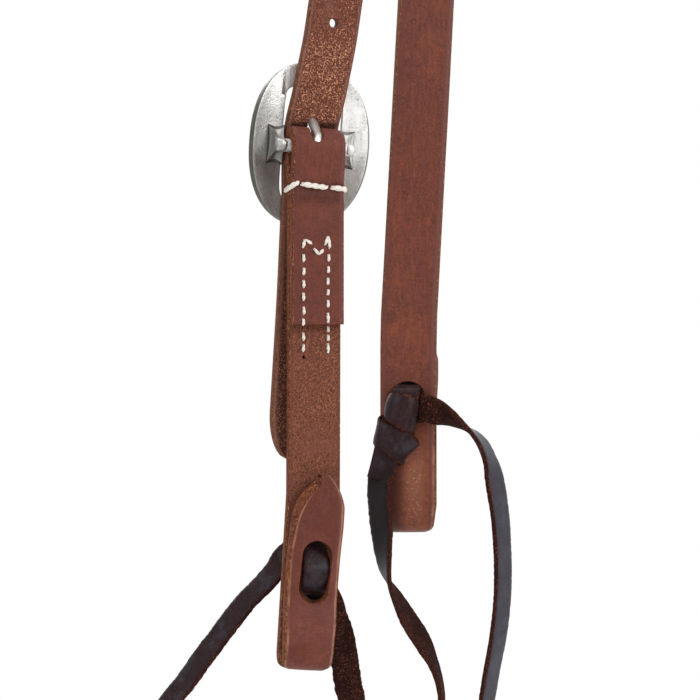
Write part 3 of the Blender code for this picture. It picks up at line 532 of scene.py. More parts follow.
class Effects:
    """The node groups that more than one finish uses."""

    def __init__(self) -> None:
        """Make every group."""
        self.mottle = self.make_mottle()
        self.skin = self.make_skin()
        self.nap = self.make_nap()
        self.margin = self.make_margin()

    @staticmethod
    def make_mottle() -> bpy.types.NodeTree:
        """Slow colour variation: dye that took unevenly."""
        bench, given = make_group("uneven_dye", Vector=None, Base=GREY, Dark=GREY, Warm=GREY,
                                  Size=1.0)
        where, dark, warm = given["Vector"], given["Dark"], given["Warm"]
        broad = bench.noise(where, bench.math("DIVIDE", 85.0, given["Size"]), 5.0, 0.62, 0.5)
        finer = bench.noise(where, bench.math("DIVIDE", 360.0, given["Size"]), 5.0, 0.7, 0.6)
        grit = bench.noise(where, 1700.0, 3.0, 0.6)
        tone = bench.layers(
            given["Base"],
            (bench.ramp(broad, 0.40, 0.70, 0.0, 0.55), warm),
            (bench.ramp(finer, 0.44, 0.72, 0.0, 0.75), dark),
            (bench.ramp(grit, 0.50, 0.63, 0.0, 0.45), warm),
            (bench.ramp(grit, 0.49, 0.36, 0.0, 0.50), dark),
        )
        return bench.give(Color=tone, Mask=broad)

    @staticmethod
    def make_skin() -> bpy.types.NodeTree:
        """The grain side's fine pores and wrinkles, and small bright spots that the grain finish
        paints as glints.
        """
        bench, given = make_group("grain_skin", Vector=None, Size=1.0, Wrinkle=0.5)
        where, size = given["Vector"], given["Size"]
        pores = bench.add("TexVoronoi", {
            "Vector": where, "Scale": bench.math("DIVIDE", 2600.0, size),
        }, feature="SMOOTH_F1")["Distance"]
        fine = bench.noise(where, bench.math("DIVIDE", 1500.0, size), 5.0, 0.7)
        folds = bench.noise(bench.stretch(where, (0.35, 0.35, 1.5)),
                            bench.math("DIVIDE", 620.0, size), 4.0, 0.6, 1.2)
        crease = bench.ramp(bench.math("ABSOLUTE", bench.plus(folds, -0.5)), 0.0, 0.10)
        height = bench.plus(bench.times(pores, 0.35), bench.times(fine, 0.6),
                            bench.times(crease, given["Wrinkle"]))
        # small bright spots, which the grain finish lays as painted glints
        glints = bench.ramp(bench.noise(where, 1900.0, 2.0, 0.5), 0.70, 0.78)
        return bench.give(Height=height, Specks=glints, Pores=pores)

    @staticmethod
    def make_nap() -> bpy.types.NodeTree:
        """The flesh side's raised fibres: bright tips over a dark ground."""
        bench, given = make_group("raised_nap", Vector=None, Ground=GREY, Tips=GREY, Size=1.0,
                                  Amount=1.0)
        where = given["Vector"]
        scale = bench.math("DIVIDE", 3000.0, given["Size"])
        fibres = None
        for lean, shift in ((1.02, 0.0), (-1.10, 0.31), (0.25, 0.57)):
            laid = bench.add("Mapping", {
                "Vector": where, "Rotation": (0.0, lean, 0.3 * lean), "Scale": (1.0, 1.0, 3.6),
                "Location": (shift, shift, 0.0),
            }, vector_type="TEXTURE")["Vector"]
            way = bench.noise(laid, scale, 1.0, 0.5, 0.15)
            fibres = bench.math("MAXIMUM", fibres, way) if fibres else way
        low = bench.ramp(given["Amount"], 0.0, 1.0, 0.73, 0.615)
        shade = bench.ramp(fibres, 0.50, 0.62, 0.40, 1.0)
        lit = bench.ramp(bench.noise(where, 1300.0, 2.0), 0.36, 0.64, 0.40, 1.0)
        tips = bench.times(bench.ramp(fibres, low, bench.plus(low, 0.10)), lit)
        tone = bench.layers((0.022, 0.008, 0.005, 1.0), (shade, given["Ground"]),
                            (tips, given["Tips"]))
        return bench.give(Color=tone, Height=fibres)

    @staticmethod
    def make_margin() -> bpy.types.NodeTree:
        """The bands along a strap's edges, in millimetres, from the place across it."""
        bench, given = make_group("strap_margin", Across=None, Band=1.6)
        across = bench.times(bench.split(given["Across"])["X"], 1000.0)
        wander = bench.plus(bench.noise(given["Across"], 260.0, 2.0), -0.5)
        far = bench.plus(bench.math("ABSOLUTE", across), bench.times(wander, 0.5))
        start = bench.math("SUBTRACT", HALF_WIDTH / MM, given["Band"])
        past = bench.math("SUBTRACT", far, start)
        line = bench.times(bench.ramp(past, -0.55, -0.10), bench.ramp(past, 0.45, 0.0))
        return bench.give(Band=bench.ramp(past, -0.45, 0.45), Line=line,
                          Right=bench.math("GREATER_THAN", across, 0.0),
                          Rim=bench.ramp(far, 6.75, 7.15))


@dataclass(frozen=True)
class Finish:
    """What every finish shares: its name, and how its material starts."""

    name: str

    def make(self, effects: Effects) -> Material:
        """Make the material."""
        made = bpy.data.materials.new(self.name)
        made.use_nodes = True
        bench = NodeBench(made.node_tree)
        place = bench.add("TexCoord", {})
        self.build(bench, effects, place["Object"], place["UV"])
        return made

    def build(self, bench: NodeBench, effects: Effects, where: Socket, across: Socket) -> None:
        """Fill the shader, from the place on the piece and the place across and along it."""
        raise NotImplementedError


@dataclass(frozen=True)
class ToneZone:
    """A stretch of one side's leather, between two heights in millimetres, that takes a laid tone:
    mostly painted shade, in two places a painted highlight.
    """

    top: float
    bottom: float
    near: bool
    share: float

    def mask(self, bench: NodeBench, spot: bpy.types.NodeOutputs) -> Socket:
        """The zone's strength over the surface, from the parts of the place."""
        soft = min(0.35 * (self.top - self.bottom), 6.0)
        below, above = (self.top + soft) * MM, (self.top - soft) * MM
        end, start = (self.bottom - soft) * MM, (self.bottom + soft) * MM
        side = bench.math("GREATER_THAN" if self.near else "LESS_THAN", spot["Y"], 0.0)
        return bench.times(bench.ramp(spot["Z"], below, above),
                           bench.ramp(spot["Z"], end, start), side, self.share)


@dataclass(frozen=True)
class GrainSide(Finish):
    """The smooth, dyed side of a strap."""

    base: Colour = colour(116, 66, 54)
    dark: Colour = colour(88, 48, 41)
    warm: Colour = colour(140, 74, 52)
    # the edge bands' colour: the bevel's own tone with a painted purplish sheen
    band: Colour = colour(108, 67, 62)
    line: Colour = colour(98, 56, 49)
    # colour of the painted highlights and glints
    glint: Colour = colour(196, 140, 110)
    handled: Colour = colour(136, 76, 53)
    # colour of the painted shade in the darker zones and under the off lace
    shade_tone: Colour = colour(62, 33, 27)
    darker_zones: tuple[ToneZone, ...] = ()
    rough: float = 0.46

    def build(self, bench: NodeBench, effects: Effects, where: Socket, across: Socket) -> None:
        """Lay the dye, darker zones (mostly painted shade), the handled lower end, edge bands with
        painted sheen, and painted highlights and glints.
        """
        dye = bench.group(effects.mottle, Vector=where, Base=self.base, Dark=self.dark,
                          Warm=self.warm)
        skin = bench.group(effects.skin, Vector=where, Wrinkle=0.35)
        edge = bench.group(effects.margin, Across=across)
        spot = bench.split(where)
        low, side = spot["Z"], bench.split(across)["X"]
        streak = bench.noise(bench.stretch(where, (1.0, 1.0, 0.22)), 1100.0, 3.0, 0.65)
        wet = bench.times(bench.ramp(low, -440 * MM, -452 * MM),
                          bench.ramp(bench.noise(where, 150.0, 5.0, 0.65), 0.40, 0.60))
        blots = bench.ramp(bench.noise(where, 430.0, 4.0, 0.65), 0.52, 0.34, 0.0, 0.55)
        # painted shadow of the off lace on the left third of the off end below the knot, partly the
        # leather's own darkening
        shaded = bench.times(bench.ramp(side, 0.5 * MM, -4.5 * MM),
                             ToneZone(-455, -490, False, 0.88).mask(bench, spot))
        # painted highlight down the middle of the off end below the knot, where its outer layer
        # bulges
        crest = bench.times(bench.ramp(side, -2.5 * MM, 1.0 * MM),
                            bench.ramp(side, 5.5 * MM, 3.0 * MM),
                            ToneZone(-458, -477, False, 0.15).mask(bench, spot))
        # tiny painted glints, which show only inside the painted highlight
        glint_spots = bench.ramp(bench.noise(where, 1400.0, 2.0, 0.6), 0.58, 0.68, 0.0, 3.6)
        # painted glints in patches along the outermost edges of the lower ends
        rim = bench.times(edge["Rim"], bench.ramp(low, -440 * MM, -456 * MM))
        glint_patches = bench.ramp(bench.noise(where, 130.0, 3.0, 0.6), 0.36, 0.66, 0.06, 0.50)
        # the edge band shows more on the right edge, where its painted sheen is stronger
        worn = bench.ramp(edge["Right"], 0.0, 1.0, 0.3, 0.75)
        tone = bench.layers(
            dye["Color"],
            (bench.ramp(skin["Pores"], 0.15, 0.75, 0.0, 0.30), self.dark),
            (bench.ramp(streak, 0.50, 0.66, 0.0, 0.40), self.warm),
            (bench.ramp(streak, 0.50, 0.34, 0.0, 0.28), self.dark),
            # darker zones, mostly painted shade
            *((stain_and_shade.mask(bench, spot), self.shade_tone) for stain_and_shade in self.darker_zones),
            (bench.times(wet, 0.8), self.handled),
            (bench.times(blots, wet), self.dark),
            # painted shadow of the off lace
            (shaded, self.shade_tone),
            # painted highlight on the off end's bulge
            (crest, self.glint),
            # tiny painted glints inside that highlight
            (bench.times(glint_spots, crest), self.glint),
            # edge bands: the bevel's tone with painted sheen
            (bench.times(edge["Band"], worn), self.band),
            (bench.times(edge["Line"], 0.45), self.line),
            # painted glints in small bright spots over the grain
            (bench.times(skin["Specks"], 0.5), self.glint),
            # painted glints along the lower ends' outer edges
            (bench.times(rim, glint_patches), self.glint),
        )
        rough = bench.ramp(dye["Mask"], 0.3, 0.7, self.rough + 0.06, self.rough - 0.06)
        bench.finish({
            "Base Color": tone, "Roughness": bench.plus(rough, bench.times(wet, -0.14)),
            "Specular IOR Level": 0.14,
        }, skin["Height"], 0.55, 0.12 * MM)


@dataclass(frozen=True)
class FleshSide(Finish):
    """The fibrous inner side of a strap, whose nap grows from the low rise to the high one."""

    ground: Colour = colour(126, 76, 61)
    tips: Colour = colour(244, 180, 140)
    smooth: Colour = colour(136, 95, 82)
    line: Colour = colour(92, 58, 52)
    # colour of the painted shade in the darker zones
    dark: Colour = colour(40, 20, 14)
    darker_zones: tuple[ToneZone, ...] = ()
    band: float = 1.2
    amount: float = 0.5
    top_amount: float = 0.5
    low_rise: float = -10.0
    high_rise: float = -9.0

    def build(self, bench: NodeBench, effects: Effects, where: Socket, across: Socket) -> None:
        """Lay the nap, its smooth patches, its painted shade and the rubbed edges."""
        spot = bench.split(where)
        patch = bench.noise(where, 95.0, 3.0, 0.6)
        amount = bench.plus(
            bench.ramp(spot["Z"], self.low_rise, self.high_rise, self.amount, self.top_amount),
            bench.ramp(patch, 0.3, 0.7, -0.22, 0.22),
        )
        nap = bench.group(effects.nap, Vector=where, Ground=self.ground, Tips=self.tips,
                          Size=0.8, Amount=amount)
        edge = bench.group(effects.margin, Across=across, Band=self.band)
        worn = bench.ramp(edge["Right"], 0.0, 1.0, 0.60, 0.40)
        tone = bench.layers(
            nap["Color"],
            (bench.times(bench.ramp(amount, 0.45, 0.0), 0.8), self.smooth),
            # painted shade in the darker zones
            *((stain_and_shade.mask(bench, spot), self.dark) for stain_and_shade in self.darker_zones),
            (bench.times(edge["Band"], worn), self.smooth),
            (bench.times(edge["Line"], 0.45), self.line),
        )
        bench.finish({"Base Color": tone, "Roughness": 0.86, "Specular IOR Level": 0.10},
                     nap["Height"], 0.8, 0.30 * MM)


@dataclass(frozen=True)
class CutEdge(Finish):
    """A raw cut edge, brighter than both faces."""

    ground: Colour = colour(118, 76, 59)
    tips: Colour = colour(196, 132, 94)
    amount: float = 0.7

    def build(self, bench: NodeBench, effects: Effects, where: Socket, across: Socket) -> None:
        """Lay a nap that is drawn out along the edge, with darker patches."""
        nap = bench.group(effects.nap, Vector=bench.stretch(where, (1.0, 1.0, 0.45)),
                          Ground=self.ground, Tips=self.tips, Size=0.7, Amount=self.amount)
        patch = bench.noise(where, 130.0, 3.0, 0.6)
        tone = bench.mix(bench.ramp(patch, 0.35, 0.65, 0.0, 0.55), nap["Color"], self.ground)
        bench.finish({"Base Color": tone, "Roughness": 0.80, "Specular IOR Level": 0.1},
                     nap["Height"], 0.5, 0.2 * MM)


@dataclass(frozen=True)
class LaceGrain(Finish):
    """The dark, supple grain side of the tie lace."""

    base: Colour = colour(46, 29, 32)
    dark: Colour = colour(24, 16, 18)
    warm: Colour = colour(60, 36, 38)
    scuff: Colour = colour(116, 94, 84)
    # colour of the painted highlights: soft patches, and the off lace's right free end
    painted_highlight: Colour = colour(84, 96, 108)
    # colour of the painted shade on the off lace's left free end
    lace_shade_tone: Colour = colour(18, 11, 12)
    sheen: Colour = colour(214, 220, 240)

    def build(self, bench: NodeBench, effects: Effects, where: Socket, across: Socket) -> None:
        """Lay the dye, scuff marks and soft painted highlights, and painted shade and highlight on
        the off lace's free ends.
        """
        dye = bench.group(effects.mottle, Vector=where, Base=self.base, Dark=self.dark,
                          Warm=self.warm, Size=0.6)
        skin = bench.group(effects.skin, Vector=where, Size=0.85, Wrinkle=0.25)
        spot = bench.split(where)
        worn = bench.times(bench.ramp(bench.noise(where, 900.0, 4.0, 0.7), 0.60, 0.72, 0.0, 0.55),
                           bench.ramp(bench.noise(where, 140.0, 2.0), 0.52, 0.66))
        # painted shade: the off lace's left free end faces away from the key lamp
        left_end_shade = bench.times(ToneZone(-462, -500, False, 0.85).mask(bench, spot),
                           bench.math("LESS_THAN", spot["X"], -16 * MM))
        # painted highlight: the off lace's right free end faces the key lamp
        right_end_highlight = bench.times(ToneZone(-445, -640, False, 0.26).mask(bench, spot),
                            bench.math("GREATER_THAN", spot["X"], -12 * MM))
        tone = bench.layers(
            dye["Color"],
            (worn, self.scuff),
            # soft painted highlight patches
            (bench.ramp(bench.noise(where, 190.0, 2.0, 0.6), 0.50, 0.66, 0.0, 0.16), self.painted_highlight),
            (left_end_shade, self.lace_shade_tone),
            (right_end_highlight, self.painted_highlight),
        )
        bench.finish({
            "Base Color": tone, "Roughness": bench.ramp(skin["Pores"], 0.2, 0.8, 0.26, 0.40),
            "Specular IOR Level": 0.10, "Sheen Weight": 0.08, "Sheen Roughness": 0.25,
            "Sheen Tint": self.sheen,
        }, skin["Height"], 0.5, 0.10 * MM)


@dataclass(frozen=True)
class LaceFlesh(Finish):
    """The reddish, suede side and cut edges of the lace."""

    ground: Colour = colour(36, 18, 15)
    tips: Colour = colour(128, 72, 58)
    amount: float = 0.85

    def build(self, bench: NodeBench, effects: Effects, where: Socket, across: Socket) -> None:
        """Lay a nap that thins out in patches."""
        patch = bench.ramp(bench.noise(where, 170.0, 3.0), 0.35, 0.65, -0.35, 0.2)
        nap = bench.group(effects.nap, Vector=where, Ground=self.ground, Tips=self.tips,
                          Size=0.7, Amount=bench.plus(patch, self.amount))
        bench.finish({"Base Color": nap["Color"], "Roughness": 0.9, "Specular IOR Level": 0.08},
                     nap["Height"], 0.8, 0.3 * MM)


@dataclass(frozen=True)
class CastSteel(Finish):
    """Cast steel, tumbled to a satin and darkened in its hollows, with a painted dimmer reflection
    towards its low rise.
    """

    base: Colour = colour(250, 250, 248)
    dark: Colour = colour(116, 115, 112)
    # colour of the painted dimmer reflection, laid from the high rise down to the low one
    low: Colour = colour(176, 175, 172)
    high_rise: float = -347 * MM
    low_rise: float = -378 * MM
    rough: float = 0.38

    def build(self, bench: NodeBench, effects: Effects, where: Socket, across: Socket) -> None:
        """Lay the soil and the pits, and paint a dimmer reflection towards the steel's lower rear.
        """
        stain_and_shade = bench.noise(where, 160.0, 5.0, 0.65, 0.3)
        pits = bench.noise(where, 2000.0, 4.0, 0.7)
        speck = bench.times(bench.ramp(pits, 0.48, 0.62), bench.ramp(stain_and_shade, 0.36, 0.60))
        soil = bench.plus(bench.times(bench.ramp(stain_and_shade, 0.35, 0.75), 0.30),
                          bench.times(speck, 0.45))
        spot = bench.split(where)
        # the rise falls downwards and towards the rear, and the painted reflection dims with it
        rise = bench.plus(spot["Z"], bench.times(bench.plus(spot["X"], 20 * MM), 0.95),
                          bench.times(bench.plus(stain_and_shade, -0.5), 14 * MM))
        # painted reflection: dimmer towards the lower rear
        tone = bench.layers(self.base, (bench.ramp(rise, self.high_rise, self.low_rise), self.low),
                            (soil, self.dark))
        rough = bench.plus(bench.ramp(stain_and_shade, 0.3, 0.7, self.rough - 0.05, self.rough + 0.10),
                           bench.times(speck, 0.15))
        height = bench.plus(bench.times(pits, 0.9), bench.noise(where, 500.0, 3.0))
        bench.finish({"Base Color": tone, "Roughness": rough, "Metallic": 1.0}, height, 0.6,
                     0.17 * MM)


@dataclass(frozen=True)
class WaxedThread(Finish):
    """Off-white waxed thread, a little soiled."""

    base: Colour = colour(240, 232, 222)
    soil: Colour = colour(196, 176, 156)

    def build(self, bench: NodeBench, effects: Effects, where: Socket, across: Socket) -> None:
        """Lay the fibres and the soil."""
        fibre = bench.noise(where, 4200.0, 3.0, 0.6, 0.6)
        soil = bench.ramp(bench.noise(where, 420.0, 3.0), 0.45, 0.70, 0.0, 0.55)
        tone = bench.mix(bench.times(bench.ramp(fibre, 0.5, 0.7), soil), self.base, self.soil)
        rough = bench.ramp(fibre, 0.3, 0.7, 0.55, 0.75)
        bench.finish({"Base Color": tone, "Roughness": rough}, fibre, 0.4, 0.08 * MM)


@dataclass(frozen=True)
class PaleFloor(Finish):
    """The studio's pale floor."""

    base: Colour = colour(247, 247, 246)
    cloudy: Colour = colour(243, 243, 242)

    def build(self, bench: NodeBench, effects: Effects, where: Socket, across: Socket) -> None:
        """Lay faint clouds."""
        cloud = bench.noise(where, 3.0, 3.0)
        tone = bench.mix(bench.ramp(cloud, 0.3, 0.7, 0.0, 0.25), self.base, self.cloudy)
        bench.finish({"Base Color": tone, "Roughness": 0.9, "Specular IOR Level": 0.1},
                     cloud, 0.05, 0.5 * MM)


class Workshop:
    """Every finish of the headstall, each made once."""

    def __init__(self) -> None:
        """Make the finishes; leather has one for its grain side, its flesh side and its edges."""
        effects = Effects()
        crown = (
            GrainSide("crown_grain", colour(108, 61, 50), darker_zones=(
                # painted shade: darker over the off leg's upper stretch, which the key lamp lights
                # more
                ToneZone(-168, -372, False, 0.09), ToneZone(-168, -396, False, 0.09),
            )),
            FleshSide("crown_flesh", amount=0.45, top_amount=1.0, low_rise=-330 * MM,
                      high_rise=-352 * MM, darker_zones=(
                          # painted shade: a shadow line where the billet goes behind the cheek's
                          # fold, and the billet's tail in the shade behind it
                          ToneZone(-362.5, -364.8, True, 0.85), ToneZone(-372, -470, True, 0.55),
                          # painted shade inside the off bit end's fold
                          ToneZone(-425, -490, False, 0.80),
                      )),
            CutEdge("crown_edge"),
        )
        cheek = (
            GrainSide("cheek_grain", colour(113, 65, 53), warm=colour(134, 67, 51),
                      handled=colour(100, 50, 38), darker_zones=(
                          # painted shadow just under the cross stitch, then darker over the
                          # turn-back
                          ToneZone(-381.2, -386.4, True, 0.55), ToneZone(-390, -424, True, 0.18),
                          # painted shadow under the near flap's tip
                          ToneZone(-464, -486, True, 0.30),
                      )),
            FleshSide("cheek_flesh", colour(130, 80, 63), colour(176, 114, 82),
                      colour(132, 85, 70), band=0.8, amount=0.42, top_amount=0.62,
                      low_rise=-474 * MM, high_rise=-428 * MM),
            CutEdge("cheek_edge", colour(114, 64, 46), colour(210, 142, 100), 1.05),
        )
        ear = (GrainSide("ear_grain"), FleshSide("ear_flesh", amount=0.3, top_amount=0.3),
               CutEdge("ear_edge"))
        lace = (LaceGrain("lace_grain"), LaceFlesh("lace_flesh"),
                LaceFlesh("lace_edge", colour(50, 25, 21), colour(124, 66, 46), 0.9))
        self.crown, self.cheek, self.ear, self.lace = (
            [finish.make(effects) for finish in finishes] for finishes in (crown, cheek, ear, lace)
        )
        self.steel = CastSteel("cast_steel").make(effects)
        self.wire_steel = CastSteel("wire_steel", colour(222, 221, 219), colour(150, 148, 146),
                                    high_rise=-0.9, low_rise=-1.0, rough=0.40).make(effects)
        # darker steel for the plate's rims and the lugs' feet, where it is partly painted shade
        self.rim_steel = CastSteel("rim_steel", colour(128, 126, 122),
                                   low=colour(84, 80, 76)).make(effects)
        self.thread = WaxedThread("waxed_thread").make(effects)
        self.floor = PaleFloor("pale_floor").make(effects)


def wavering(seed: float, size: float, reach: float) -> Relief:
    """A relief of slow, shallow hollows of a size and depth, as a hanging strap has."""

    def relief(across: float, along: float, side: Side) -> float:
        """How far the skin stands proud there."""
        return reach * noise.noise(Vector((across / size, along / size, seed + 3.7 * side.value)))

    return relief


@dataclass
class BitEnd:
    """A strap's end: a fold round the bit, a flap on its inside, and the holes for the lace.

    The tables give the flap's widths and its skive in millimetres, by the share of its length.
    """

    matrix: Matrix
    flap_length: float = 57.0 * MM
    fold_radius: float = 4.75 * MM
    fold_sag: float = 0.4 * MM
    fold_share: float = 0.22
    least_tip: float = 1.6 * MM
    hole_rises: tuple[float, float] = (37.5 * MM, 19.5 * MM)
    hole_size: tuple[float, float] = (9.2 * MM, 8.2 * MM)
    low_hole: tuple[float, float, float] = (-1.8 * MM, 0.0, 23.2 * MM)
    low_hole_size: tuple[float, float] = (6.2 * MM, 6.0 * MM)
    slot_size: tuple[float, float] = (9.2 * MM, 18.4 * MM)
    slot_tilt: float = math.radians(-3.5)
    spacing_shares: tuple = (
        (0.0, 1.0), (0.20, 0.92), (0.36, 0.74), (0.52, 0.70), (0.70, 0.68), (1.0, 0.66),
    )
    left_edge: tuple = (
        (0.0, 8.8), (0.30, 8.8), (0.50, 8.5), (0.62, 8.2), (0.73, 7.8), (0.805, 7.2),
        (0.833, 6.8), (0.884, 5.6), (0.93, 3.4), (0.965, 1.4), (0.985, 0.2), (1.0, -0.9),
    )
    right_edge: tuple = (
        (0.0, 6.3), (0.15, 6.7), (0.31, 7.0), (0.57, 7.4), (0.73, 7.9), (0.80, 7.95),
        (0.84, 7.9), (0.884, 7.2), (0.93, 6.0), (0.965, 4.6), (0.985, 3.6), (1.0, 2.5),
    )
    skives: tuple = (
        (0.60, 0.1), (0.66, 0.4), (0.73, 0.8), (0.80, 1.4), (0.86, 2.3), (0.93, 2.7),
        (0.97, 2.2), (1.0, 0.5),
    )

    def spacing(self, rise: float) -> float:
        """How far inside the outer layer the flap lies, at a height over the fold."""
        return 2 * self.fold_radius * along_table(self.spacing_shares, rise / self.flap_length)

    def stations(self) -> list[Station]:
        """Stations from the flap's tip, round the fold and up to the outer layer's top."""
        sideways = self.matrix.to_3x3() @ FORWARD
        if sideways.x < 0.0:
            sideways.negate()
        made = []
        for step in range(45):
            share = 1.0 - (1.0 - self.fold_share) * step / 44
            rise = share * self.flap_length
            left, right, skive = (along_table(table, share) * MM
                                  for table in (self.left_edge, self.right_edge, self.skives))
            right = max(right, self.least_tip - left)
            place = self.matrix @ Vector((0.0, self.spacing(rise), rise))
            made.append(Station(place, sideways, left, right, min(skive, (left + right) * 0.45)))
        for step in range(17):
            share, angle = step / 16, math.pi * step / 16
            rise = HALF_THICK + self.fold_radius * (1.0 - math.sin(angle))
            rise -= self.fold_sag * math.sin(angle)
            inwards = self.fold_radius * (1.0 + math.cos(angle))
            pinch = 1.5 * math.sin(angle) ** 14
            left = (8.8 + (7.95 - 8.8) * share - pinch) * MM
            right = (6.3 + (7.95 - 6.3) * share**1.6 - pinch) * MM
            made.append(Station(self.matrix @ Vector((0.0, inwards, rise)), sideways, left, right))
        for share in (self.fold_share, 0.44, 0.66, 0.90):
            place = self.matrix @ Vector((0.0, 0.0, share * self.flap_length))
            made.append(even_width(place, sideways))
        return made

    def punches(self, finish: Material) -> list[Piece]:
        """The punches of its two holes and its long slot."""
        upper = self.matrix @ Matrix.Translation((0.0, 0.0, self.hole_rises[0]))
        lower = self.matrix @ Matrix.Translation(self.low_hole)
        middle = sum(self.hole_rises) / 2
        slot = self.matrix @ Matrix.Translation((0.0, self.spacing(middle), middle))
        slot = slot @ Matrix.Rotation(self.slot_tilt, 4, "Y")
        return [
            punch(upper, *self.hole_size, STRAP_THICK, 0.35 * MM, finish),
            punch(lower, *self.low_hole_size, STRAP_THICK, 0.3 * MM, finish),
            punch(slot, *self.slot_size, STRAP_THICK + 0.4 * MM, 0.45 * MM, finish),
        ]


OFF_END = BitEnd(frame_matrix(Vector((-21.4, -52.5, -480.0)) * MM, 0.0, OFF_TURN),
                 fold_sag=1.1 * MM)
NEAR_END = BitEnd(frame_matrix(BAR_PLACE + Vector((-3.0, 1.9, -153.0)) * MM, math.radians(3.6),
                               math.pi))


@dataclass
class CrownStrap:
    """The long strap: off bit end, off leg, crown, near leg and billet.

    The shares say how far the near leg has leaned, by the share of the bar's drop.
    """

    finishes: list[Material]
    arch_radius: float = 46.5 * MM
    poll_flat: float = 12.0 * MM
    turn_length: float = 110.0 * MM
    bar_drop: float = 370.0 * MM
    bar_lean: float = 20.2 * MM
    bar_inset: float = 2.5 * MM
    straight_share: float = 0.48
    billet_tail: float = 92.0 * MM
    billet_tip: float = 14.0 * MM
    billet_seat: float = 5.7 * MM
    billet_crest: float = 7.85 * MM
    tongue_hole: tuple[float, float] = (360.1 * MM, 367.2 * MM)
    tongue_depth: float = 6.8 * MM
    hole_pitch: float = 32.0 * MM
    lean_shares: tuple = (
        (0.486, 0.0), (0.676, 0.139), (0.784, 0.337), (0.884, 0.604), (0.915, 0.685),
        (0.946, 0.800), (0.978, 0.922), (1.000, 0.960), (1.041, 1.010), (1.122, 1.085),
        (1.200, 1.173), (1.249, 1.228),
    )

    def billet_offset(self, rise: float) -> float:
        """The billet's place outside the bar, at a height over it."""
        lift = self.billet_crest - self.billet_seat
        return self.billet_seat + lift * (1.0 - blend(3.48 * MM, 15.95 * MM, abs(rise)))

    def near_place(self, drop: float) -> Vector:
        """The near leg's centre at a drop under the crown's rest."""
        lean = -self.bar_lean * along_table(self.lean_shares, drop / self.bar_drop)
        seat = LEG - self.bar_inset + self.billet_offset(self.bar_drop - drop)
        approach = blend(self.bar_drop - 94.4 * MM, self.bar_drop - 23.6 * MM, drop)
        return Vector((lean, LEG + (seat - LEG) * approach, -drop))

    def tip_half(self, drop: float) -> float:
        """The billet's half width, which a rounded point takes in at its tip."""
        share = min(max((self.bar_drop + self.billet_tail - drop) / self.billet_tip, 0.0), 1.0)
        return HALF_WIDTH * (0.16 + 0.84 * math.sqrt(1.0 - (1.0 - share) ** 2))

    def stations(self) -> list[Station]:
        """Stations from the off flap's tip, over the crown, to the billet's tip."""
        made = even_stations(OFF_END.stations(), 0.9 * MM)
        leg_top = -ARCH_FOOT
        upper = []
        for step in range(1, 121):
            drop = LEAN_END - (LEAN_END - leg_top) * step / 121
            turn = OFF_TURN * blend(LEAN_END - self.turn_length, LEAN_END, drop)
            lean = -OFF_LEAN * (drop - leg_top) / (LEAN_END - leg_top)
            sideways = Vector((math.cos(turn), math.sin(turn), 0.0))
            upper.append(even_width(Vector((lean, -LEG, -drop)), sideways))
        for side in (-1.0, 1.0):
            for step in range(25):
                share = step / 24 if side < 0.0 else 1.0 - step / 24
                angle = math.pi / 2 * share
                y = side * (self.poll_flat / 2 + self.arch_radius * math.cos(angle))
                z = ARCH_FOOT + self.arch_radius * math.sin(angle)
                upper.append(even_width(Vector((0.0, y, z))))
        straight = self.bar_drop * self.straight_share
        for step in range(1, 20):
            drop = leg_top + (straight - leg_top) * step / 20
            upper.append(even_width(self.near_place(drop)))
        end = self.bar_drop + self.billet_tail
        for step in range(301):
            drop = straight + (end - straight) * step / 300
            upper.append(even_width(self.near_place(drop), half=self.tip_half(drop)))
        return made + even_stations([made[-1], *upper], 1.25 * MM)[1:]

    def hole_frame(self, drop: float) -> Matrix:
        """A frame on the billet at a drop, square to it, for a hole."""
        ahead = self.near_place(drop - GAP) - self.near_place(drop + GAP)
        return frame_matrix(self.near_place(drop), math.atan2(ahead.x, ahead.z), 0.0)

    def make(self) -> Piece:
        """Build the strap and cut its holes."""
        strap = sweep("long_strap", self.stations(), Section(), self.finishes,
                      wavering(1.0, 16 * MM, 0.10 * MM))
        edge = self.finishes[Side.EDGE.value]
        tools = OFF_END.punches(edge)
        middle = sum(self.tongue_hole) / 2
        for count in (-2, -1, 1, 2):
            above = 1.6 * MM if count == 1 else 0.0
            spot = self.hole_frame(middle - count * self.hole_pitch + above)
            tools.append(punch(spot, 2.5 * MM, 2.7 * MM, STRAP_THICK, 0.25 * MM, edge))
        cut(strap, tools)
        depth = self.tongue_depth
        for swing, size in ((0.0, 3.0 * MM), (15.0, 3.2 * MM)):
            rise = CartBuckle.shank_rise(depth, swing)
            lean = Matrix.Rotation(math.radians(SHANK_ANGLE - 90.0 - swing), 4, "X")
            spot = BUCKLE @ Matrix.Translation((SHANK_SHIFT, depth, rise)) @ lean
            cut(strap, [punch(spot, 3.3 * MM, size, 6.6 * MM, 0.1 * MM, edge)])
        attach(strap, "strap")
        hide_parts("crown_strap")
        return strap


